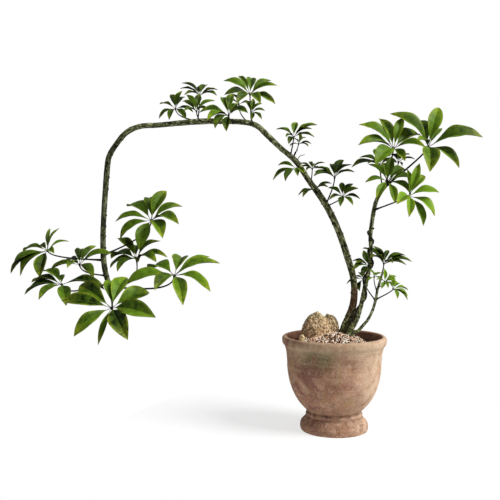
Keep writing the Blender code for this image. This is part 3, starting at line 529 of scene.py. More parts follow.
def roughen(tree, shader, place, size, depth, strength):
    """Gives a surface small pits about that size and depth in millimetres."""
    pits = cloud(tree, place, size, 5, 0.7)
    bump = add(tree, "ShaderNodeBump", {
        "Strength": strength, "Distance": depth / 1000, "Height": pits,
    })
    tree.links.new(bump.outputs[0], shader.inputs["Normal"])


def terracotta():
    # Low-fired earthenware, thrown and unglazed: dull and porous, mauve where it stays damp, and
    # more so on its left, the side in shade, as painted shade; green grey below the collar; paler
    # on its right, the side the light falls on, as painted light; paler at the rim, with lime
    # bloom and a painted highlight; limed in flecks, and darker towards the waist.
    made, tree, shader = start_material("weathered terracotta", 0.88, 0.2)
    place = position(tree)
    x, _, z = split(tree, place)
    # Painted shade: the mauve damp stains are laid strongest on the left, the side in shade.
    left_painted_shade = passing(tree, x, -0.10, 0.02, 1.0, 0.45)
    # Painted light: the pot's right side, where the light falls, is made paler.
    painted_light_right = passing(tree, x, 0.015, 0.11)
    # Darker towards the bottom, from the waist down.
    waist = passing(tree, z, 0.050, 0.105, 1.0, 0.0)
    below_rim = passing(tree, z, 0.178, 0.216)
    collar = passing(tree, z, 0.238, 0.250, 1.0, 0.0)
    # Lime bloom and painted highlight: the pot is made paler up at the rim, where light falls on
    # it.
    rim_bloom_and_highlight = passing(tree, z, 0.226, 0.242)
    aside = reckon(tree, "ABSOLUTE", reckon(tree, "ADD", x, GREEN_PATCH_LEFT))
    front = passing(tree, aside, 0.012, 0.060, 1.0, 0.20)
    green = reckon(tree, "MULTIPLY", reckon(tree, "MULTIPLY", below_rim, collar), front)
    run = stretched(tree, place, 1, 1, 0.16)
    thrown = stretched(tree, place, 0.2, 0.2, 1.6)
    colour = mottle_all(tree, "987059", (
        (place, "bd9a7e", 58, 0.40, 0.58),
        (place, "7b4d43", 52, 0.42, 0.56, 0.85, left_painted_shade),
        (place, "a06c4e", 30, 0.52, 0.62, 0.50),
        (run, "9b8259", 20, 0.55, 0.63, 0.55),
        (place, "736d4c", 44, 0.26, 0.48, 0.90, green),
        (place, "b9a283", 46, 0.36, 0.56, 0.75, rim_bloom_and_highlight),
        (run, "6f4d3b", 13, 0.52, 0.66, 0.32),
        (thrown, "c2a183", 15, 0.52, 0.68, 0.30),
        # Painted light, pale on the right side.
        (place, "d6bb9f", 26, 0.28, 0.56, 0.75, painted_light_right),
        (place, "d0b5a0", 11, 0.54, 0.70, 0.35),
        (place, "5d4233", 15, 0.42, 0.62, 0.55, waist),
        (place, "5a3d2f", 2.8, 0.56, 0.66, 0.50),
        (place, "e8cdb2", 3.4, 0.58, 0.66, 0.40),
        # Painted shade, dark in the grooves round the waist.
        (place, "4f3528", 18, 0.36, 0.60, 0.9, layer(tree, "groove_shade")),
        (place, "875d4a", 30, 0.10, 0.45, 0.95, layer(tree, "inside")),
    ))
    tree.links.new(colour, shader.inputs["Base Color"])
    roughen(tree, shader, place, 3.2, 1.4, 0.55)
    return made


def leaf_face(name, shade, sun, rib, roughness, gloss):
    # Living leaf under a waxy skin: satin and deep green above, and duller below, where its
    # colours are darker, which is painted shade. It has a pale midrib, faint side veins 7 mm
    # apart, and yellowing that starts at the tip and the edge.
    made, tree, shader = start_material(name, roughness, gloss)
    place = position(tree)
    across, along, reach, edge, bright, age = (layer(tree, word) for word in BLADE_LAYERS)
    shift = passing(tree, cloud(tree, place, 17, 4, 0.6), 0.32, 0.68, -0.17, 0.19, "LINEAR")
    level = reckon(tree, "ADD", shift, bright, clamp=True)
    colour = blend(tree, level, linear(shade), sun)
    aside = reckon(tree, "ABSOLUTE", across)
    slant = reckon(tree, "MULTIPLY_ADD", aside, -0.9, along)
    vein = passing(tree, reckon(tree, "PINGPONG", slant, 3.5), 0.10, 0.80, 1.0, 0.0)
    midrib = passing(tree, aside, 0.30, 0.95, 1.0, 0.0)
    for line, share in ((vein, 0.10), (midrib, 0.45)):
        colour = blend(tree, reckon(tree, "MULTIPLY", line, share), colour, rib)
    tip = passing(tree, reach, 0.62, 0.98)
    border = passing(tree, edge, 0.62, 1.0, 0.0, 0.85)
    outer = reckon(tree, "MAXIMUM", tip, border)
    worn = reckon(tree, "MULTIPLY", outer, age, clamp=True)
    colour = mottle(tree, place, colour, "b0bd2c", 12, 0.32, 0.58, 0.85, worn)
    last = passing(tree, reach, 0.90, 1.0, how="LINEAR")
    dry = reckon(tree, "MULTIPLY", last, age, clamp=True)
    colour = mottle(tree, place, colour, "7a6a22", 9, 0.38, 0.52, 0.6, dry)
    tree.links.new(colour, shader.inputs["Base Color"])
    dip = reckon(tree, "MULTIPLY_ADD", midrib, -1.6, vein)
    bump = add(tree, "ShaderNodeBump", {"Strength": 0.4, "Distance": 0.0003, "Height": dip})
    tree.links.new(bump.outputs[0], shader.inputs["Normal"])
    return made


def leaf_stalk():
    # Green wood under a smooth skin: nearly black green, with a dull gloss.
    made, tree, shader = start_material("dark leaf stalk", 0.6, 0.08)
    colour = mottle(tree, position(tree), linear("0d1107"), "232c14", 9, 0.40, 0.66)
    tree.links.new(colour, shader.inputs["Base Color"])
    return made


def bark(name, deep, mid, pale, scar_colour):
    # Thin living bark: grey green in streaks along the stem, dark where a leaf has dropped and in
    # the cracks, with pale corky flecks. It is rusty low on the tall stem, and darker where that
    # stem hangs on the left, away from the light, which is painted shade.
    made, tree, shader = start_material(name, 0.85, 0.2)
    place = add(tree, "ShaderNodeAttribute", attribute_name="bark").outputs["Vector"]
    drawn = stretched(tree, place, 1, 1, 0.5)
    x, _, _ = split(tree, position(tree))
    # Painted shade along the stretch of the tall stem that hangs on the left.
    hanging_shade = passing(tree, x, -0.61, -0.57, 1.0, 0.0, "LINEAR")
    colour = mottle_all(tree, deep, (
        (drawn, mid, 11, 0.40, 0.52),
        (drawn, pale, 6, 0.50, 0.58, 0.9),
        (drawn, deep, 14, 0.52, 0.62, 0.8),
        (place, scar_colour, 4.2, 0.54, 0.61, 0.9),
        (drawn, deep, 12, 0.30, 0.56, 0.70, hanging_shade),
    ))
    for word, tint in (("rust", "5c3a27"), ("scar", scar_colour)):
        colour = blend(tree, layer(tree, word), colour, tint)
    tree.links.new(colour, shader.inputs["Base Color"])
    roughen(tree, shader, drawn, 3.5, 1.2, 0.8)
    return made


def sandstone(name, low, high, weather):
    # Rough broken sandstone: cream and ochre grains with brown in the hollows. Where it has
    # weathered, it is rusty on its left, olive on its right and green grey with algae on top.
    made, tree, shader = start_material(name, 0.92, 0.15)
    place = position(tree)
    x, _, z = split(tree, place)
    left = passing(tree, x, -0.090, -0.062, 1.0, 0.0)
    right = passing(tree, x, -0.030, 0.000)
    top = passing(tree, z, 0.308, 0.326)
    colour = mottle_all(tree, low, (
        (place, high, 22, 0.38, 0.60),
        (place, "8e4c2c", 16, 0.28, 0.53, weather, left),
        (place, "86703c", 22, 0.25, 0.50, weather, right),
        (place, "9c9858", 20, 0.25, 0.50, weather, top),
        (place, "b0663a", 12, 0.56, 0.66, weather / 2),
        (place, "ffe7bd", 5, 0.43, 0.55, 0.85),
        (place, "42240b", 4, 0.53, 0.60, 0.9),
    ))
    colour = blend(tree, layer(tree, "hollow"), colour, "5a3517")
    tree.links.new(colour, shader.inputs["Base Color"])
    roughen(tree, shader, place, 3.0, 2.2, 0.9)
    return made


def washed_pebbles():
    # Washed granite chips: dull, and each its own pale pink, cream, grey or brown.
    made, tree, shader = start_material("washed pebbles", 0.75, 0.3)
    place = position(tree)
    kind = add(tree, "ShaderNodeValToRGB", {"Fac": layer(tree, "lot")}, stops=(
        (0.0, "f0d8c4"), (0.20, "cda68a"), (0.38, "fff5e6"), (0.58, "74513d"), (0.70, "e8c4a6"),
        (0.84, "4c3526"), (0.93, "c8b292"),
    ))
    kind.color_ramp.interpolation = "CONSTANT"
    colour = mottle(tree, place, kind.outputs[0], "5f4535", 2.4, 0.54, 0.68, 0.5)
    tree.links.new(colour, shader.inputs["Base Color"])
    roughen(tree, shader, place, 1.5, 0.6, 0.4)
    return made


def earth(name, dark, light):
    # Damp earth, of peat and bark crumbs or of grit: dull, and nearly black in the gaps.
    made, tree, shader = start_material(name, 0.95, 0.15)
    place = position(tree)
    colour = mottle(tree, place, linear(dark), light, 5, 0.42, 0.64)
    tree.links.new(colour, shader.inputs["Base Color"])
    roughen(tree, shader, place, 4, 2, 0.9)
    return made


def put(name, data):
    """Puts a new object in the scene."""
    thing = bpy.data.objects.new(name, data)
    bpy.context.scene.collection.objects.link(thing)
    return thing


def to_mesh(name, bm):
    """Turns the bmesh into a mesh."""
    mesh = bpy.data.meshes.new(name)
    bm.to_mesh(mesh)
    bm.free()
    return mesh


def finish_piece(name, bm, finishes, slot, *nodes):
    """Makes a piece of the bmesh that stands for the CAD nodes, with the finishes given; slot is
    not used.
    """
    bmesh.ops.recalc_face_normals(bm, faces=bm.faces)
    mesh = to_mesh(name, bm)
    mesh.shade_smooth()
    mesh.set_sharp_from_angle(angle=SHARP_ANGLE)
    for finish in finishes:
        mesh.materials.append(finish)
    piece = put(name, mesh)
    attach(piece, "root")
    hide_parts(*nodes)
    return piece


def spline(points, steps):
    """A smooth curve through points of any size, with that many steps from each to the next."""
    found = []
    for index in range(len(points) - 1):
        corners = [points[max(index - 1, 0)], points[index], points[index + 1],
                   points[min(index + 2, len(points) - 1)]]
        for step in range(steps):
            t = step / steps
            weights = (
                (-t + 2 * t * t - t ** 3) / 2,
                (2 - 5 * t * t + 3 * t ** 3) / 2,
                (t + 4 * t * t - 3 * t ** 3) / 2,
                (-t * t + t ** 3) / 2,
            )
            found.append(tuple(
                sum(row[axis] * weight for row, weight in zip(corners, weights))
                for axis in range(len(points[0]))
            ))
    found.append(tuple(points[-1]))
    return found


def smooth_route(points, spacing):
    """Evenly spaced points, as (place, radius), on a smooth curve through the points given."""
    fine = [(Vector(row[:3]), row[3]) for row in spline(points, 12)]
    length = sum((b[0] - a[0]).length for a, b in zip(fine, fine[1:]))
    count = max(round(length / spacing), 2)
    wanted = [length * index / count for index in range(count + 1)]
    route = []
    done = 0.0
    for (place, radius), (after, after_radius) in zip(fine, fine[1:]):
        span = (after - place).length
        while len(route) < count and wanted[len(route)] <= done + span:
            share = (wanted[len(route)] - done) / span
            route.append((place.lerp(after, share), radius + (after_radius - radius) * share))
        done += span
    route.append(fine[-1])
    return route


def extrude(bm, edges):
    """Extrudes the edges and gives the new points and the new edges between them."""
    grown = bmesh.ops.extrude_edge_only(bm, edges=edges)["geom"]
    verts = [part for part in grown if isinstance(part, bmesh.types.BMVert)]
    fresh = set(verts)
    between = [
        part for part in grown
        if isinstance(part, bmesh.types.BMEdge) and fresh.issuperset(part.verts)
    ]
    return verts, between


def grow_tube(bm, route, sides, shape=None):
    """Grows a closed tube along (place, radius) points, ring by ring, each ring then shaped.

    The layer bark keeps where each point would be on the straightened tube.
    """
    straight = bm.verts.layers.float_vector["bark"]
    places = [place for place, radius in route]
    first_radius = route[0][1]
    heading = (places[1] - places[0]).normalized()
    turn = heading.to_track_quat("Z", "X")
    made = bmesh.ops.create_circle(bm, cap_ends=True, segments=sides, radius=first_radius)
    ring = made["verts"]
    edges = list({edge for vert in ring for edge in vert.link_edges})
    for vert in ring:
        vert[straight] = vert.co
    along = 0.0
    for index, (place, radius) in enumerate(route):
        if index:
            along += (place - places[index - 1]).length
            ahead = (places[min(index + 1, len(places) - 1)] - places[index - 1]).normalized()
            turn = heading.rotation_difference(ahead) @ turn
            heading = ahead
            ring, edges = extrude(bm, edges)
        for vert in ring:
            x, y, _ = vert[straight]
            vert[straight] = (x, y, along)
            out = turn @ Vector((x, y, 0)) / first_radius
            vert.co = place + out * radius
            if shape:
                shape(vert, out, radius, along)
    bmesh.ops.edgeloop_fill(bm, edges=edges)


def finish_new_faces(bm, before, index):
    """Gives the faces that weren't there before the finish of that number."""
    for face in set(bm.faces) - before:
        face.material_index = index


def revolve(bm, profile, steps):
    """Turns a profile of (radius, height) points about the upright axis."""
    verts = [bm.verts.new((radius, 0, height)) for radius, height in profile]
    edges = [bm.edges.new(pair) for pair in zip(verts, verts[1:])]
    bmesh.ops.spin(
        bm, geom=verts + edges, cent=(0, 0, 0), axis=(0, 0, 1),
        angle=math.tau, steps=steps, use_merge=True,
    )
    bmesh.ops.remove_doubles(bm, verts=bm.verts, dist=1e-6)


def keep_result(piece):
    """Applies the modifiers of a piece."""
    bpy.context.view_layer.update()
    graph = bpy.context.evaluated_depsgraph_get()
    old = piece.data
    piece.data = bpy.data.meshes.new_from_object(piece.evaluated_get(graph))
    piece.modifiers.clear()
    piece.data.name = piece.name
    bpy.data.meshes.remove(old)


def add_pot(finish):
    """The pot, a little uneven from the wheel, with holes cut through its floor."""
    lip = []
    for step in range(1, LIP_STEPS):
        angle = math.pi * (1 - step / LIP_STEPS)
        lip.append((
            RIM_RADIUS - LIP_BEAD + LIP_BEAD * math.cos(angle),
            LIP_HEIGHT + LIP_BEAD * math.sin(angle),
        ))
    floor = INNER_WALL[0][1]
    profile = [
        (0, floor), (0.022, floor), (0.045, floor),
        *spline(INNER_WALL, 5), *lip, *spline(OUTER_WALL, 5),
        *spline(WAIST_RING, 4)[1:], *spline(FOOT_MOULDING, 3)[1:], (0.047, 0), (0.023, 0), (0, 0),
    ]
    bm = bmesh.new()
    inside = bm.verts.layers.float.new("inside")
    groove_shade = bm.verts.layers.float.new("groove_shade")
    revolve(bm, profile, POT_STEPS)
    bmesh.ops.recalc_face_normals(bm, faces=bm.faces)
    for vert in bm.verts:
        out = Vector((vert.co.x, vert.co.y, 0))
        radius = out.length
        height = vert.co.z
        inwards = vert.normal.dot(out.normalized()) < 0.15
        within = height > INSIDE_HEIGHT and inwards and radius < INSIDE_RADIUS
        vert[inside] = 1.0 if within else 0.0
        near = min(abs(height - at) for at in GROOVES) if radius < GROOVE_RADIUS else 1
        # Painted shade in the grooves, fading away from each.
        vert[groove_shade] = max(0.0, 1 - near / GROOVE_SHADE_SPREAD) * 0.8
        if 0.001 < height and not within:
            sway = noise.noise(vert.co * 14) * WALL_SWAY
            seat = Vector((vert.co.x * 4, vert.co.y * 4, height * 110))
            vert.co += vert.normal * (sway + noise.noise(seat) * WALL_RINGS)
    pot = finish_piece("pot_body", bm, [finish], "terracotta", "pot")
    drains = bmesh.new()
    for index in range(DRAIN_COUNT):
        angle = math.tau * index / DRAIN_COUNT + math.pi / 2
        place = Vector((math.cos(angle), math.sin(angle), 0)) * DRAIN_CIRCLE
        bmesh.ops.create_cone(
            drains, cap_ends=True, segments=24, radius1=DRAIN_RADIUS, radius2=DRAIN_RADIUS,
            depth=0.2, matrix=Matrix.Translation(place),
        )
    cutter = put("drains", to_mesh("drains", drains))
    step = pot.modifiers.new("drains", "BOOLEAN")
    step.operation = "DIFFERENCE"
    step.solver = "EXACT"
    step.object = cutter
    keep_result(pot)
    bpy.data.objects.remove(cutter)


def bed_height(x, y):
    """The gravel's height at a place: highest at the crown, and lowest at the bed's edge."""
    far = min(math.hypot((x - CROWN[0]) / CROWN_REACH[0], (y - CROWN[1]) / CROWN_REACH[1]), 1)
    return CROWN_HEIGHT - (CROWN_HEIGHT - BED_EDGE_HEIGHT) * far ** 1.5


def bed_share(x, y):
    """How far out a place is in the gravel's oval, 1 at its edge."""
    return math.hypot((x - BED_CENTRE[0]) / BED_REACH[0], (y - BED_CENTRE[1]) / BED_REACH[1])


def add_soil(finish):
    """The soil, lumpy on top, with crumbs lying on it round the gravel."""
    wall = spline(INNER_WALL[:-1], 3)
    width = SOIL_EDGE_RADIUS - SOIL_TOP_GAP
    profile = [(width * index / SOIL_RINGS, SOIL_LEVEL) for index in range(SOIL_RINGS + 1)]
    profile += [(radius - SOIL_GAP, height + SOIL_GAP) for radius, height in reversed(wall)]
    profile += [(0, wall[0][1] + SOIL_GAP)]
    bm = bmesh.new()
    revolve(bm, profile, SOIL_STEPS)
    for vert in bm.verts:
        if vert.co.z > SOIL_LEVEL - 0.0001:
            lumps = noise.fractal(vert.co * 130, 0.9, 2.1, 4) * 0.0016
            vert.co.z += lumps - 0.0006
    draw = random.Random(21)
    for _ in range(CRUMB_TRIES):
        angle = draw.uniform(0, math.tau)
        radius = (SOIL_EDGE_RADIUS - 0.004) * math.sqrt(draw.random())
        x, y = math.cos(angle) * radius, math.sin(angle) * radius
        size = draw.uniform(*CRUMB_SIZES)
        if bed_share(x, y) < 0.9:
            continue
        axis = Vector((draw.random(), draw.random(), draw.random() + 0.1)).normalized()
        spun = Quaternion(axis, draw.uniform(0, 6))
        place = Vector((x, y, SOIL_LEVEL + size * 0.4))
        wide = Vector((1, draw.uniform(0.5, 1), 0.6))
        bmesh.ops.create_icosphere(
            bm, subdivisions=1, radius=size, matrix=Matrix.LocRotScale(place, spun, wide),
        )
    finish_piece("soil_body", bm, [finish], "soil", "soil")


def square_of(x, y):
    """The square of the bed that a place is in, as a column and a row of squares."""
    side = 2 * PEBBLE_SIZES[1]
    return math.floor(x / side), math.floor(y / side)


def is_taken(laid, x, y, size):
    """Whether a pebble in this square or in one beside it is in the way of another that size."""
    column, row = square_of(x, y)
    for i in (column - 1, column, column + 1):
        for j in (row - 1, row, row + 1):
            for a, b, other in laid.get((i, j), ()):
                if math.hypot(x - a, y - b) < (size + other) * PEBBLE_CLOSENESS:
                    return True
    return False


def is_in_stem(x, y, size):
    """Whether a pebble that size would be in a stem's foot."""
    return any(math.hypot(x - a, y - b) < radius + size * 0.2 for a, b, radius in STEM_FEET)


def is_in_stone(place):
    """Whether a place is well inside the stone."""
    for centre, reach in BOULDERS:
        off = Vector([(place[axis] - centre[axis]) / reach[axis] for axis in range(3)])
        if off.length < 0.93:
            return True
    return False


def add_gravel(grit_and_shade_finish, finish):
    """A heap of grit under a close layer of pebbles, each a lumpy little stone. The grit is nearly
    black, painted shade in the gaps between the pebbles.
    """
    bm = bmesh.new()
    lot = bm.verts.layers.float.new("lot")
    bmesh.ops.create_circle(bm, cap_ends=True, segments=96, radius=1)
    bmesh.ops.inset_region(bm, faces=list(bm.faces), thickness=0.02)
    for _ in range(12):
        inner = max(bm.faces, key=lambda face: len(face.verts))
        bmesh.ops.inset_region(bm, faces=[inner], thickness=0.078)
    for vert in bm.verts:
        x = BED_CENTRE[0] + vert.co.x * BED_REACH[0]
        y = BED_CENTRE[1] + vert.co.y * BED_REACH[1]
        share = vert.co.xy.length
        drop = 0.0065 * max(0, share - 0.9) / 0.1
        vert.co = (x, y, bed_height(x, y) - HEAP_DEPTH - drop)
    low, loop = extrude(bm, [edge for edge in bm.edges if edge.is_boundary])
    for vert in low:
        vert.co.z = SOIL_LEVEL - 0.002
    bmesh.ops.edgeloop_fill(bm, edges=loop)
    for face in bm.faces:
        face.material_index = 1
    draw = random.Random(8)
    laid = {}
    for _ in range(PEBBLE_TRIES):
        x = BED_CENTRE[0] + draw.uniform(-1, 1) * BED_REACH[0]
        y = BED_CENTRE[1] + draw.uniform(-1, 1) * BED_REACH[1]
        size = draw.triangular(*PEBBLE_SIZES, PEBBLE_USUAL_SIZE)
        share = bed_share(x, y)
        if share > 1.0 or is_taken(laid, x, y, size):
            continue
        height = bed_height(x, y) - PEBBLE_DEPTH - 0.004 * max(0, share - 0.92) / 0.08
        if is_in_stem(x, y, size) or is_in_stone((x, y, height)):
            continue
        laid.setdefault(square_of(x, y), []).append((x, y, size))
        axis = Vector((draw.uniform(-1, 1), draw.uniform(-1, 1), draw.uniform(-1, 1) + 0.01))
        spun = Quaternion(axis.normalized(), draw.uniform(0, math.tau))
        wide = Vector([draw.uniform(*span) for span in PEBBLE_FORM]) * size
        made = bmesh.ops.create_uvsphere(bm, u_segments=7, v_segments=5, radius=1)
        shade = draw.random()
        place = Vector((x, y, height))
        for vert in made["verts"]:
            lump = 1 + 0.22 * noise.noise(vert.co * 1.3 + place * 900)
            vert.co = place + spun @ (vert.co * wide * lump)
            vert[lot] = shade
    finish_piece("gravel_bed", bm, [finish, grit_and_shade_finish], "gravel", "gravel")


def add_rock(name, finish, node, boulders, fineness):
    """Boulders grown together, then broken into small facets and roughened all over."""
    bm = bmesh.new()
    for (centre, reach), top in zip(boulders, TOP_CHIPS):
        made = bmesh.ops.create_icosphere(bm, subdivisions=5, radius=1)
        for vert in made["verts"]:
            for facing, distance in (*top, *CHIPS):
                vert.co -= facing * max(vert.co.dot(facing) - distance, 0)
            vert.co = centre + vert.co * reach * ROCK_SHARE
            vert.co.z = max(vert.co.z, SOIL_LEVEL - 0.002)
    lump = put(name, to_mesh(name, bm))
    step = lump.modifiers.new("merge", "REMESH")
    step.mode = "VOXEL"
    step.voxel_size = fineness
    keep_result(lump)
    bm = bmesh.new()
    bm.from_mesh(lump.data)
    merged = lump.data
    bpy.data.objects.remove(lump)
    bpy.data.meshes.remove(merged)
    hollow = bm.verts.layers.float.new("hollow")
    bm.normal_update()
    noise.seed_set(ROCK_SEED)
    grain = fineness / ROCK_FINENESS
    for vert in bm.verts:
        push = 0.0
        deep = 0.0
        for spacing, rise in ROCK_BREAKS:
            seat = vert.co / (spacing * grain)
            near, cells = noise.voronoi(seat)
            push += (seat - cells[0]).dot(noise.noise_vector(cells[0] * 5.3)) * rise
            deep += max(0.0, 0.12 - (near[1] - near[0])) * rise
        rough = noise.fractal(vert.co * 210 / grain, 0.5, 2.1, 4)
        push += rough * 0.0013 - deep * 1.2
        vert[hollow] = min(max(deep * 160 - rough * 0.9, 0.0), 0.85)
        vert.co += vert.normal * push * grain
        vert.co.z = max(vert.co.z, SOIL_LEVEL + 0.0003)
    finish_piece(name, bm, [finish], "rock", node)


def add_stem(name, points, finish, node, sides, seed, rust=None, sprouts=(), stalk=None):
    """A bare stem, ringed by the scars of fallen leaves."""
    draw = random.Random(seed)
    route = smooth_route(points, STEM_SPACING)
    length = sum((b[0] - a[0]).length for a, b in zip(route, route[1:]))
    scars = []
    at = draw.uniform(0.02, 0.03)
    while at < length - 0.01:
        around = draw.uniform(0, math.tau)
        scars.append((at, Vector((math.cos(around), math.sin(around), 0))))
        at += draw.uniform(*SCAR_SPACINGS)
    bm = bmesh.new()
    bm.verts.layers.float_vector.new("bark")
    scar_layer = bm.verts.layers.float.new("scar")
    rust_layer = bm.verts.layers.float.new("rust")

    def shape(vert, out, radius, along):
        """Swells the ring at each scar, most on the side where the leaf was, and roughens it."""
        mark = 0.0
        rise = 0.0
        for at, side in scars:
            if abs(along - at) > 0.012:
                continue
            facing = out.dot(side)
            away = abs(along - at - 0.002 * facing)
            wide = 0.0010 + 0.0020 * max(facing, 0) ** 2
            mark = max(mark, 1 - away / wide)
            rise = max(rise, (0.03 + 0.22 * max(facing, 0) ** 2) * math.exp(-(away / 0.0022) ** 2))
        seat = Vector([part * radius for part in out]) * 190 + Vector((0, 0, along * 60))
        rough = noise.fractal(seat, 0.8, 2.0, 3)
        vert.co += out * radius * (rise + 0.045 * rough)
        vert[scar_layer] = min(max(mark, 0) * 1.6, 1) * 0.92
        if rust:
            low, high = rust
            edge = 0.012 * noise.noise(vert.co * 120)
            share = min((vert.co.z - low + edge) / 0.03, (high - vert.co.z + edge) / 0.012, 1)
            vert[rust_layer] = max(share, 0) * (0.75 + 0.25 * noise.noise(vert.co * 200))

    grow_tube(bm, route, sides, shape)
    for sprout in sprouts:
        young = [
            (*row, SPROUT_RADIUS * (1 - SPROUT_TAPER * index))
            for index, row in enumerate(sprout)
        ]
        before = set(bm.faces)
        grow_tube(bm, [(Vector(place), radius) for *place, radius in spline(young, 6)], 8)
        finish_new_faces(bm, before, 1)
    finish_piece(name, bm, [finish, stalk] if sprouts else [finish], "bark", node)


def add_root(finish):
    """The aerial root that winds up round the middle stem."""
    stem = smooth_route(MIDDLE_STEM, 0.0005)
    route = []
    for turn, (low, high) in enumerate(zip(ROOT_PASSES, ROOT_PASSES[1:])):
        for step in range(ROOT_STEPS_PER_PASS):
            share = step / ROOT_STEPS_PER_PASS
            height = low + (high - low) * share
            index = min(range(1, len(stem) - 1), key=lambda row: abs(stem[row][0].z - height))
            place, radius = stem[index]
            ahead = (stem[index + 1][0] - stem[index - 1][0]).normalized()
            right = (Vector((1, 0, 0)) - ahead * ahead.x).normalized()
            away = radius * 1.02 + ROOT_RADIUS + ROOT_STAND_OFF
            angle = -math.pi * max(turn + share, 1)
            offset = (right * math.cos(angle) + ahead.cross(right) * math.sin(angle)) * away
            taper = 1 - ROOT_TAPER * (turn + share) / len(ROOT_PASSES)
            knobbly = 1 + 0.14 * noise.noise(place * 90)
            route.append((place + offset, ROOT_RADIUS * taper * knobbly))
    bm = bmesh.new()
    bm.verts.layers.float_vector.new("bark")
    grow_tube(bm, route, 10)
    finish_piece("twining_root", bm, [finish], "root", "aerial_root")


def blade_width(t):
    """Half the blade's width at a share of the leaflet's length, 1 at its widest."""
    share = (t - BLADE_START) / (1 - BLADE_START)
    if share <= 0 or share >= 1:
        return 0.0
    swell = math.sin(math.pi * share ** 1.08)
    return swell ** (1.25 if share < 0.53 else 0.95)


def add_leaflet(bm, layers, hub, tip, facing, start, broad, bright, draw):
    """One blade on its stalk, arched over towards the way the hub faces."""
    chord = tip - hub
    length = chord.length
    lift = facing - chord * facing.dot(chord) / chord.length_squared
    if lift.length < LEAST_LIFT:
        lift = Vector((0, 0, 1)) - chord * chord.z / chord.length_squared
    lift.normalize()
    pull = hub + chord * 0.5 + lift * 2 * ARCH * length
    first = hub + (pull - hub).normalized() * start
    half = broad * length / 2 * draw.uniform(0.96, 1.08)
    twist = draw.uniform(-0.22, 0.22)
    sway = draw.uniform(-0.02, 0.02) * length
    ripple = draw.uniform(0.004, 0.016) * length
    waves = draw.uniform(1.6, 2.8)
    phases = (draw.uniform(0, math.tau), draw.uniform(0, math.tau))
    age = draw.choice(AGES) * (0.55 + 0.45 * bright)
    shade = bright + draw.uniform(-1, 1) * BRIGHTNESS_SPREAD
    # Painted light and shade: one half of the blade is made lighter and the other darker, as light
    # falls on its fold.
    fold_shade = draw.choice((-1, 1)) * draw.uniform(0.3, 1) * FOLD_SHADE_SPREAD

    def section(t):
        """Where the midrib is, and which way its side and its upper face look."""
        place = first * (1 - t) ** 2 + pull * 2 * t * (1 - t) + tip * t * t
        ahead = ((pull - first) * (1 - t) + (tip - pull) * t).normalized()
        side = ahead.cross(lift).normalized()
        side = Quaternion(ahead, twist * t) @ side
        place = place + side * sway * math.sin(math.pi * t)
        return place, side, side.cross(ahead)

    made = bmesh.ops.create_grid(bm, x_segments=BLADE_COLUMNS, y_segments=BLADE_ROWS, size=1)
    blade = set()
    for vert in made["verts"]:
        blade.update(vert.link_faces)
        u = vert.co.x
        t = BLADE_START + (1 - BLADE_START) * (vert.co.y + 1) / 2
        place, side, up = section(t)
        width = blade_width(t)
        reach = max(width * half, 0.0004)
        fold = BLADE_KEEL * reach * abs(u) * (1.35 - 0.35 * u * u)
        swing = math.sin(waves * math.tau * t + phases[u > 0])
        wave = ripple * swing * u * u * min(width * 1.5, 1)
        vert.co = place + side * reach * u + up * (fold + wave)
        lit = shade + fold_shade * min(max(u * 5, -1), 1)
        kept = (reach * u * 1000, length * t * 1000, t, abs(u), lit, age)
        for kind, value in zip(layers, kept):
            vert[kind] = value
    bm.normal_update()
    before = set(bm.faces)
    bmesh.ops.solidify(bm, geom=list(blade), thickness=BLADE_THICKNESS)
    finish_new_faces(bm, before, 1)

    stalk = 0.0004 + 0.0042 * length
    route = []
    for step in range(13):
        t = 0.96 * step / 12
        place, side, up = section(t)
        sunk = min(t / BLADE_START, 1) * (0.35 * stalk + BLADE_THICKNESS)
        route.append((place - up * sunk, stalk * (1 - 0.72 * t)))
    before = set(bm.faces)
    grow_tube(bm, route, 6)
    finish_new_faces(bm, before, 2)


def foot_on_stem(stem, wanted, hub):
    """A point inside the stem, nearest the one wanted and off its middle towards the hub."""
    index = min(range(1, len(stem) - 1), key=lambda row: (stem[row][0] - wanted).length)
    place, radius = stem[index]
    along = (stem[index + 1][0] - stem[index - 1][0]).normalized()
    out = (hub - place) - along * (hub - place).dot(along)
    return place + out.normalized() * radius * FOOT_OFFSET


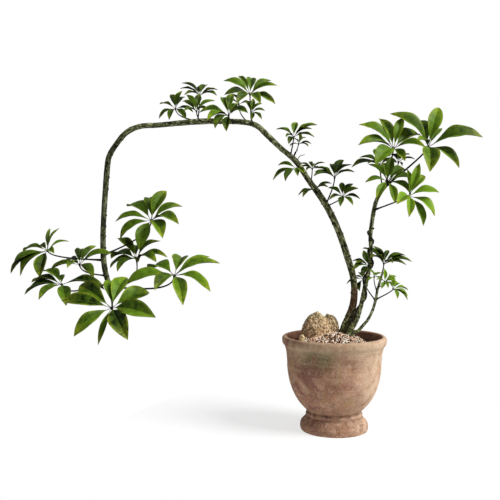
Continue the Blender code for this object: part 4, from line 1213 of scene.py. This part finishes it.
def add_leaf(name, leaf, stem, bright, finishes, seed):
    """A compound leaf: its petiole, the knob at its hub, and its leaflets."""
    draw = random.Random(seed)
    bm = bmesh.new()
    bm.verts.layers.float_vector.new("bark")
    for word in BLADE_LAYERS:
        bm.verts.layers.float.new(word)
    layers = [bm.verts.layers.float[word] for word in BLADE_LAYERS]
    hub = Vector(leaf.hub)
    facing = Vector(leaf.facing).normalized()
    foot = foot_on_stem(stem, Vector(leaf.foot), hub)
    size = PETIOLE_LEAST_RADIUS + PETIOLE_GROWTH * leaf.length
    bend = hub - facing * (hub - foot).length * leaf.bend
    way = foot.lerp(bend, 0.5)
    route = []
    for step in range(PETIOLE_STEPS + 1):
        t = step / PETIOLE_STEPS
        place = (
            foot * (1 - t) ** 3 + way * 3 * t * (1 - t) ** 2
            + bend * 3 * t * t * (1 - t) + hub * t ** 3
        )
        flare = 0.75 * math.exp(-(t / 0.07) ** 2)
        knob = 0.85 * math.exp(-((1 - t) / 0.05) ** 2)
        route.append((place, size * (1.1 - 0.3 * t + flare + knob)))
    route.append((hub + facing * size * 0.8, size * 1.45))
    route.append((hub + facing * size * 1.25, size * 0.6))
    grow_tube(bm, route, 8)
    for face in bm.faces:
        face.material_index = 2
    sight = (VIEWPOINT - hub).normalized()
    broad = SMALL_BLADE_WIDTH if leaf.length < SMALL_LEAF else BLADE_WIDTH
    for row in leaf.leaflets:
        one = Leaflet(*row)
        bearing, lean = math.radians(one.bearing), math.radians(one.lean)
        flat = Vector((math.cos(bearing), 0, math.sin(bearing)))
        aim = flat * math.cos(lean) + sight * math.sin(lean)
        tip = hub + aim * leaf.length * one.reach
        add_leaflet(bm, layers, hub, tip, facing, size * 0.6, broad * one.breadth, bright, draw)
    finish_piece(name + "_foliage", bm, finishes, "leaf", name)


def add_floor():
    # Frosted white acrylic over a light box: even and with no gloss, and shadows on it stay faint.
    # It is a small sheet, so that little light comes up from it into the leaves' undersides.
    made, tree, shader = start_material("frosted white acrylic", 1.0, 0.0)
    shader.inputs["Base Color"].default_value = linear("9c9c9c")
    shader.inputs["Emission Color"].default_value = linear("ffffff")
    shader.inputs["Emission Strength"].default_value = FLOOR_GLOW
    bm = bmesh.new()
    bmesh.ops.create_circle(bm, cap_ends=True, segments=96, radius=FLOOR_RADIUS)
    mesh = to_mesh("floor", bm)
    mesh.materials.append(made)
    floor = put("floor", mesh)


def add_camera():
    """The camera at the photograph's viewpoint, level and shifted down."""
    lens = bpy.data.cameras.new("camera")
    lens.lens = LENS
    lens.sensor_width = SENSOR_WIDTH
    lens.shift_y = LENS_SHIFT
    camera = put("camera", lens)
    camera.location = VIEWPOINT
    camera.rotation_euler = (math.radians(90), 0, 0)
    bpy.context.scene.camera = camera


def add_sun():
    """A broad soft light from the right, above and in front."""
    lamp = bpy.data.lights.new("key", "SUN")
    lamp.angle = KEY_SPREAD
    lamp.energy = KEY_LIGHT
    light = put("key", lamp)
    light.rotation_euler = Vector(KEY_FROM).to_track_quat("Z", "Y").to_euler()


def add_world():
    """Plain white behind everything, which lights the scene less than it shows."""
    world = bpy.data.worlds.new("studio")
    world.use_nodes = True
    tree = world.node_tree
    sky = tree.nodes["Background"]
    sky.inputs["Color"].default_value = linear("ffffff")
    seen = add(tree, "ShaderNodeLightPath").outputs["Is Camera Ray"]
    strength = passing(tree, seen, 0.0, 1.0, SKY_LIGHT, 1.0, "LINEAR")
    tree.links.new(strength, sky.inputs["Strength"])
    bpy.context.scene.world = world


add_world()
add_camera()
add_floor()
add_sun()
bpy.context.scene.view_settings.view_transform = "Standard"

green_bark = bark("grey green living bark", "161908", "62693e", "bebf90", "0a0b04")
root_bark = bark("dark aerial root", "100e09", "262114", "453d28", "0a0906")
stalk_skin = leaf_stalk()
foliage = [
    leaf_face("waxy upper leaf", "0f2004", "78a024", "7f9836", 0.42, 0.10),
    # Painted shade: the underside's colours are darker than the upper face's.
    leaf_face("dull leaf underside in painted shade", "0d1a04", "4c6a1c", "667c34", 0.65, 0.05),
    stalk_skin,
]

add_pot(terracotta())
add_soil(earth("damp potting soil", "2a1b13", "5a4030"))
add_rock(
    "sandstone_rock", sandstone("weathered sandstone", "b08456", "cfa87c", 0.8),
    "stone", BOULDERS, ROCK_FINENESS,
)
add_rock(
    "yellow_stone", sandstone("fresh yellow sandstone", "c9a562", "e6cd92", 0.0),
    "small_stone", (SMALL_STONE,), ROCK_FINENESS / 3,
)
# The grit's nearly black colour is painted shade between the pebbles.
add_gravel(earth("dark grit in painted shade", "1a0e09", "402619"), washed_pebbles())
add_stem(
    "tall_trunk", TALL_STEM, green_bark, "stem_tall", 20, 3, RUST_HEIGHTS, SPROUTS, stalk_skin,
)
add_stem("middle_trunk", MIDDLE_STEM, green_bark, "stem_middle", 16, 4)
add_stem("short_trunk", SHORT_STEM, green_bark, "stem_short", 14, 6)
add_root(root_bark)
seed = 100
for node, points, leaves, brightness in (
    ("leaf_tall", TALL_STEM, TALL_LEAVES, TALL_BRIGHTNESS),
    ("leaf_middle", MIDDLE_STEM, MIDDLE_LEAVES, MIDDLE_BRIGHTNESS),
    ("leaf_short", SHORT_STEM, SHORT_LEAVES, SHORT_BRIGHTNESS),
):
    line = smooth_route(points, FINE_SPACING)
    for number, (row, bright) in enumerate(zip(leaves, brightness), 1):
        seed += 1
        add_leaf(f"{node}_{number:02}", row, line, bright, foliage, seed)
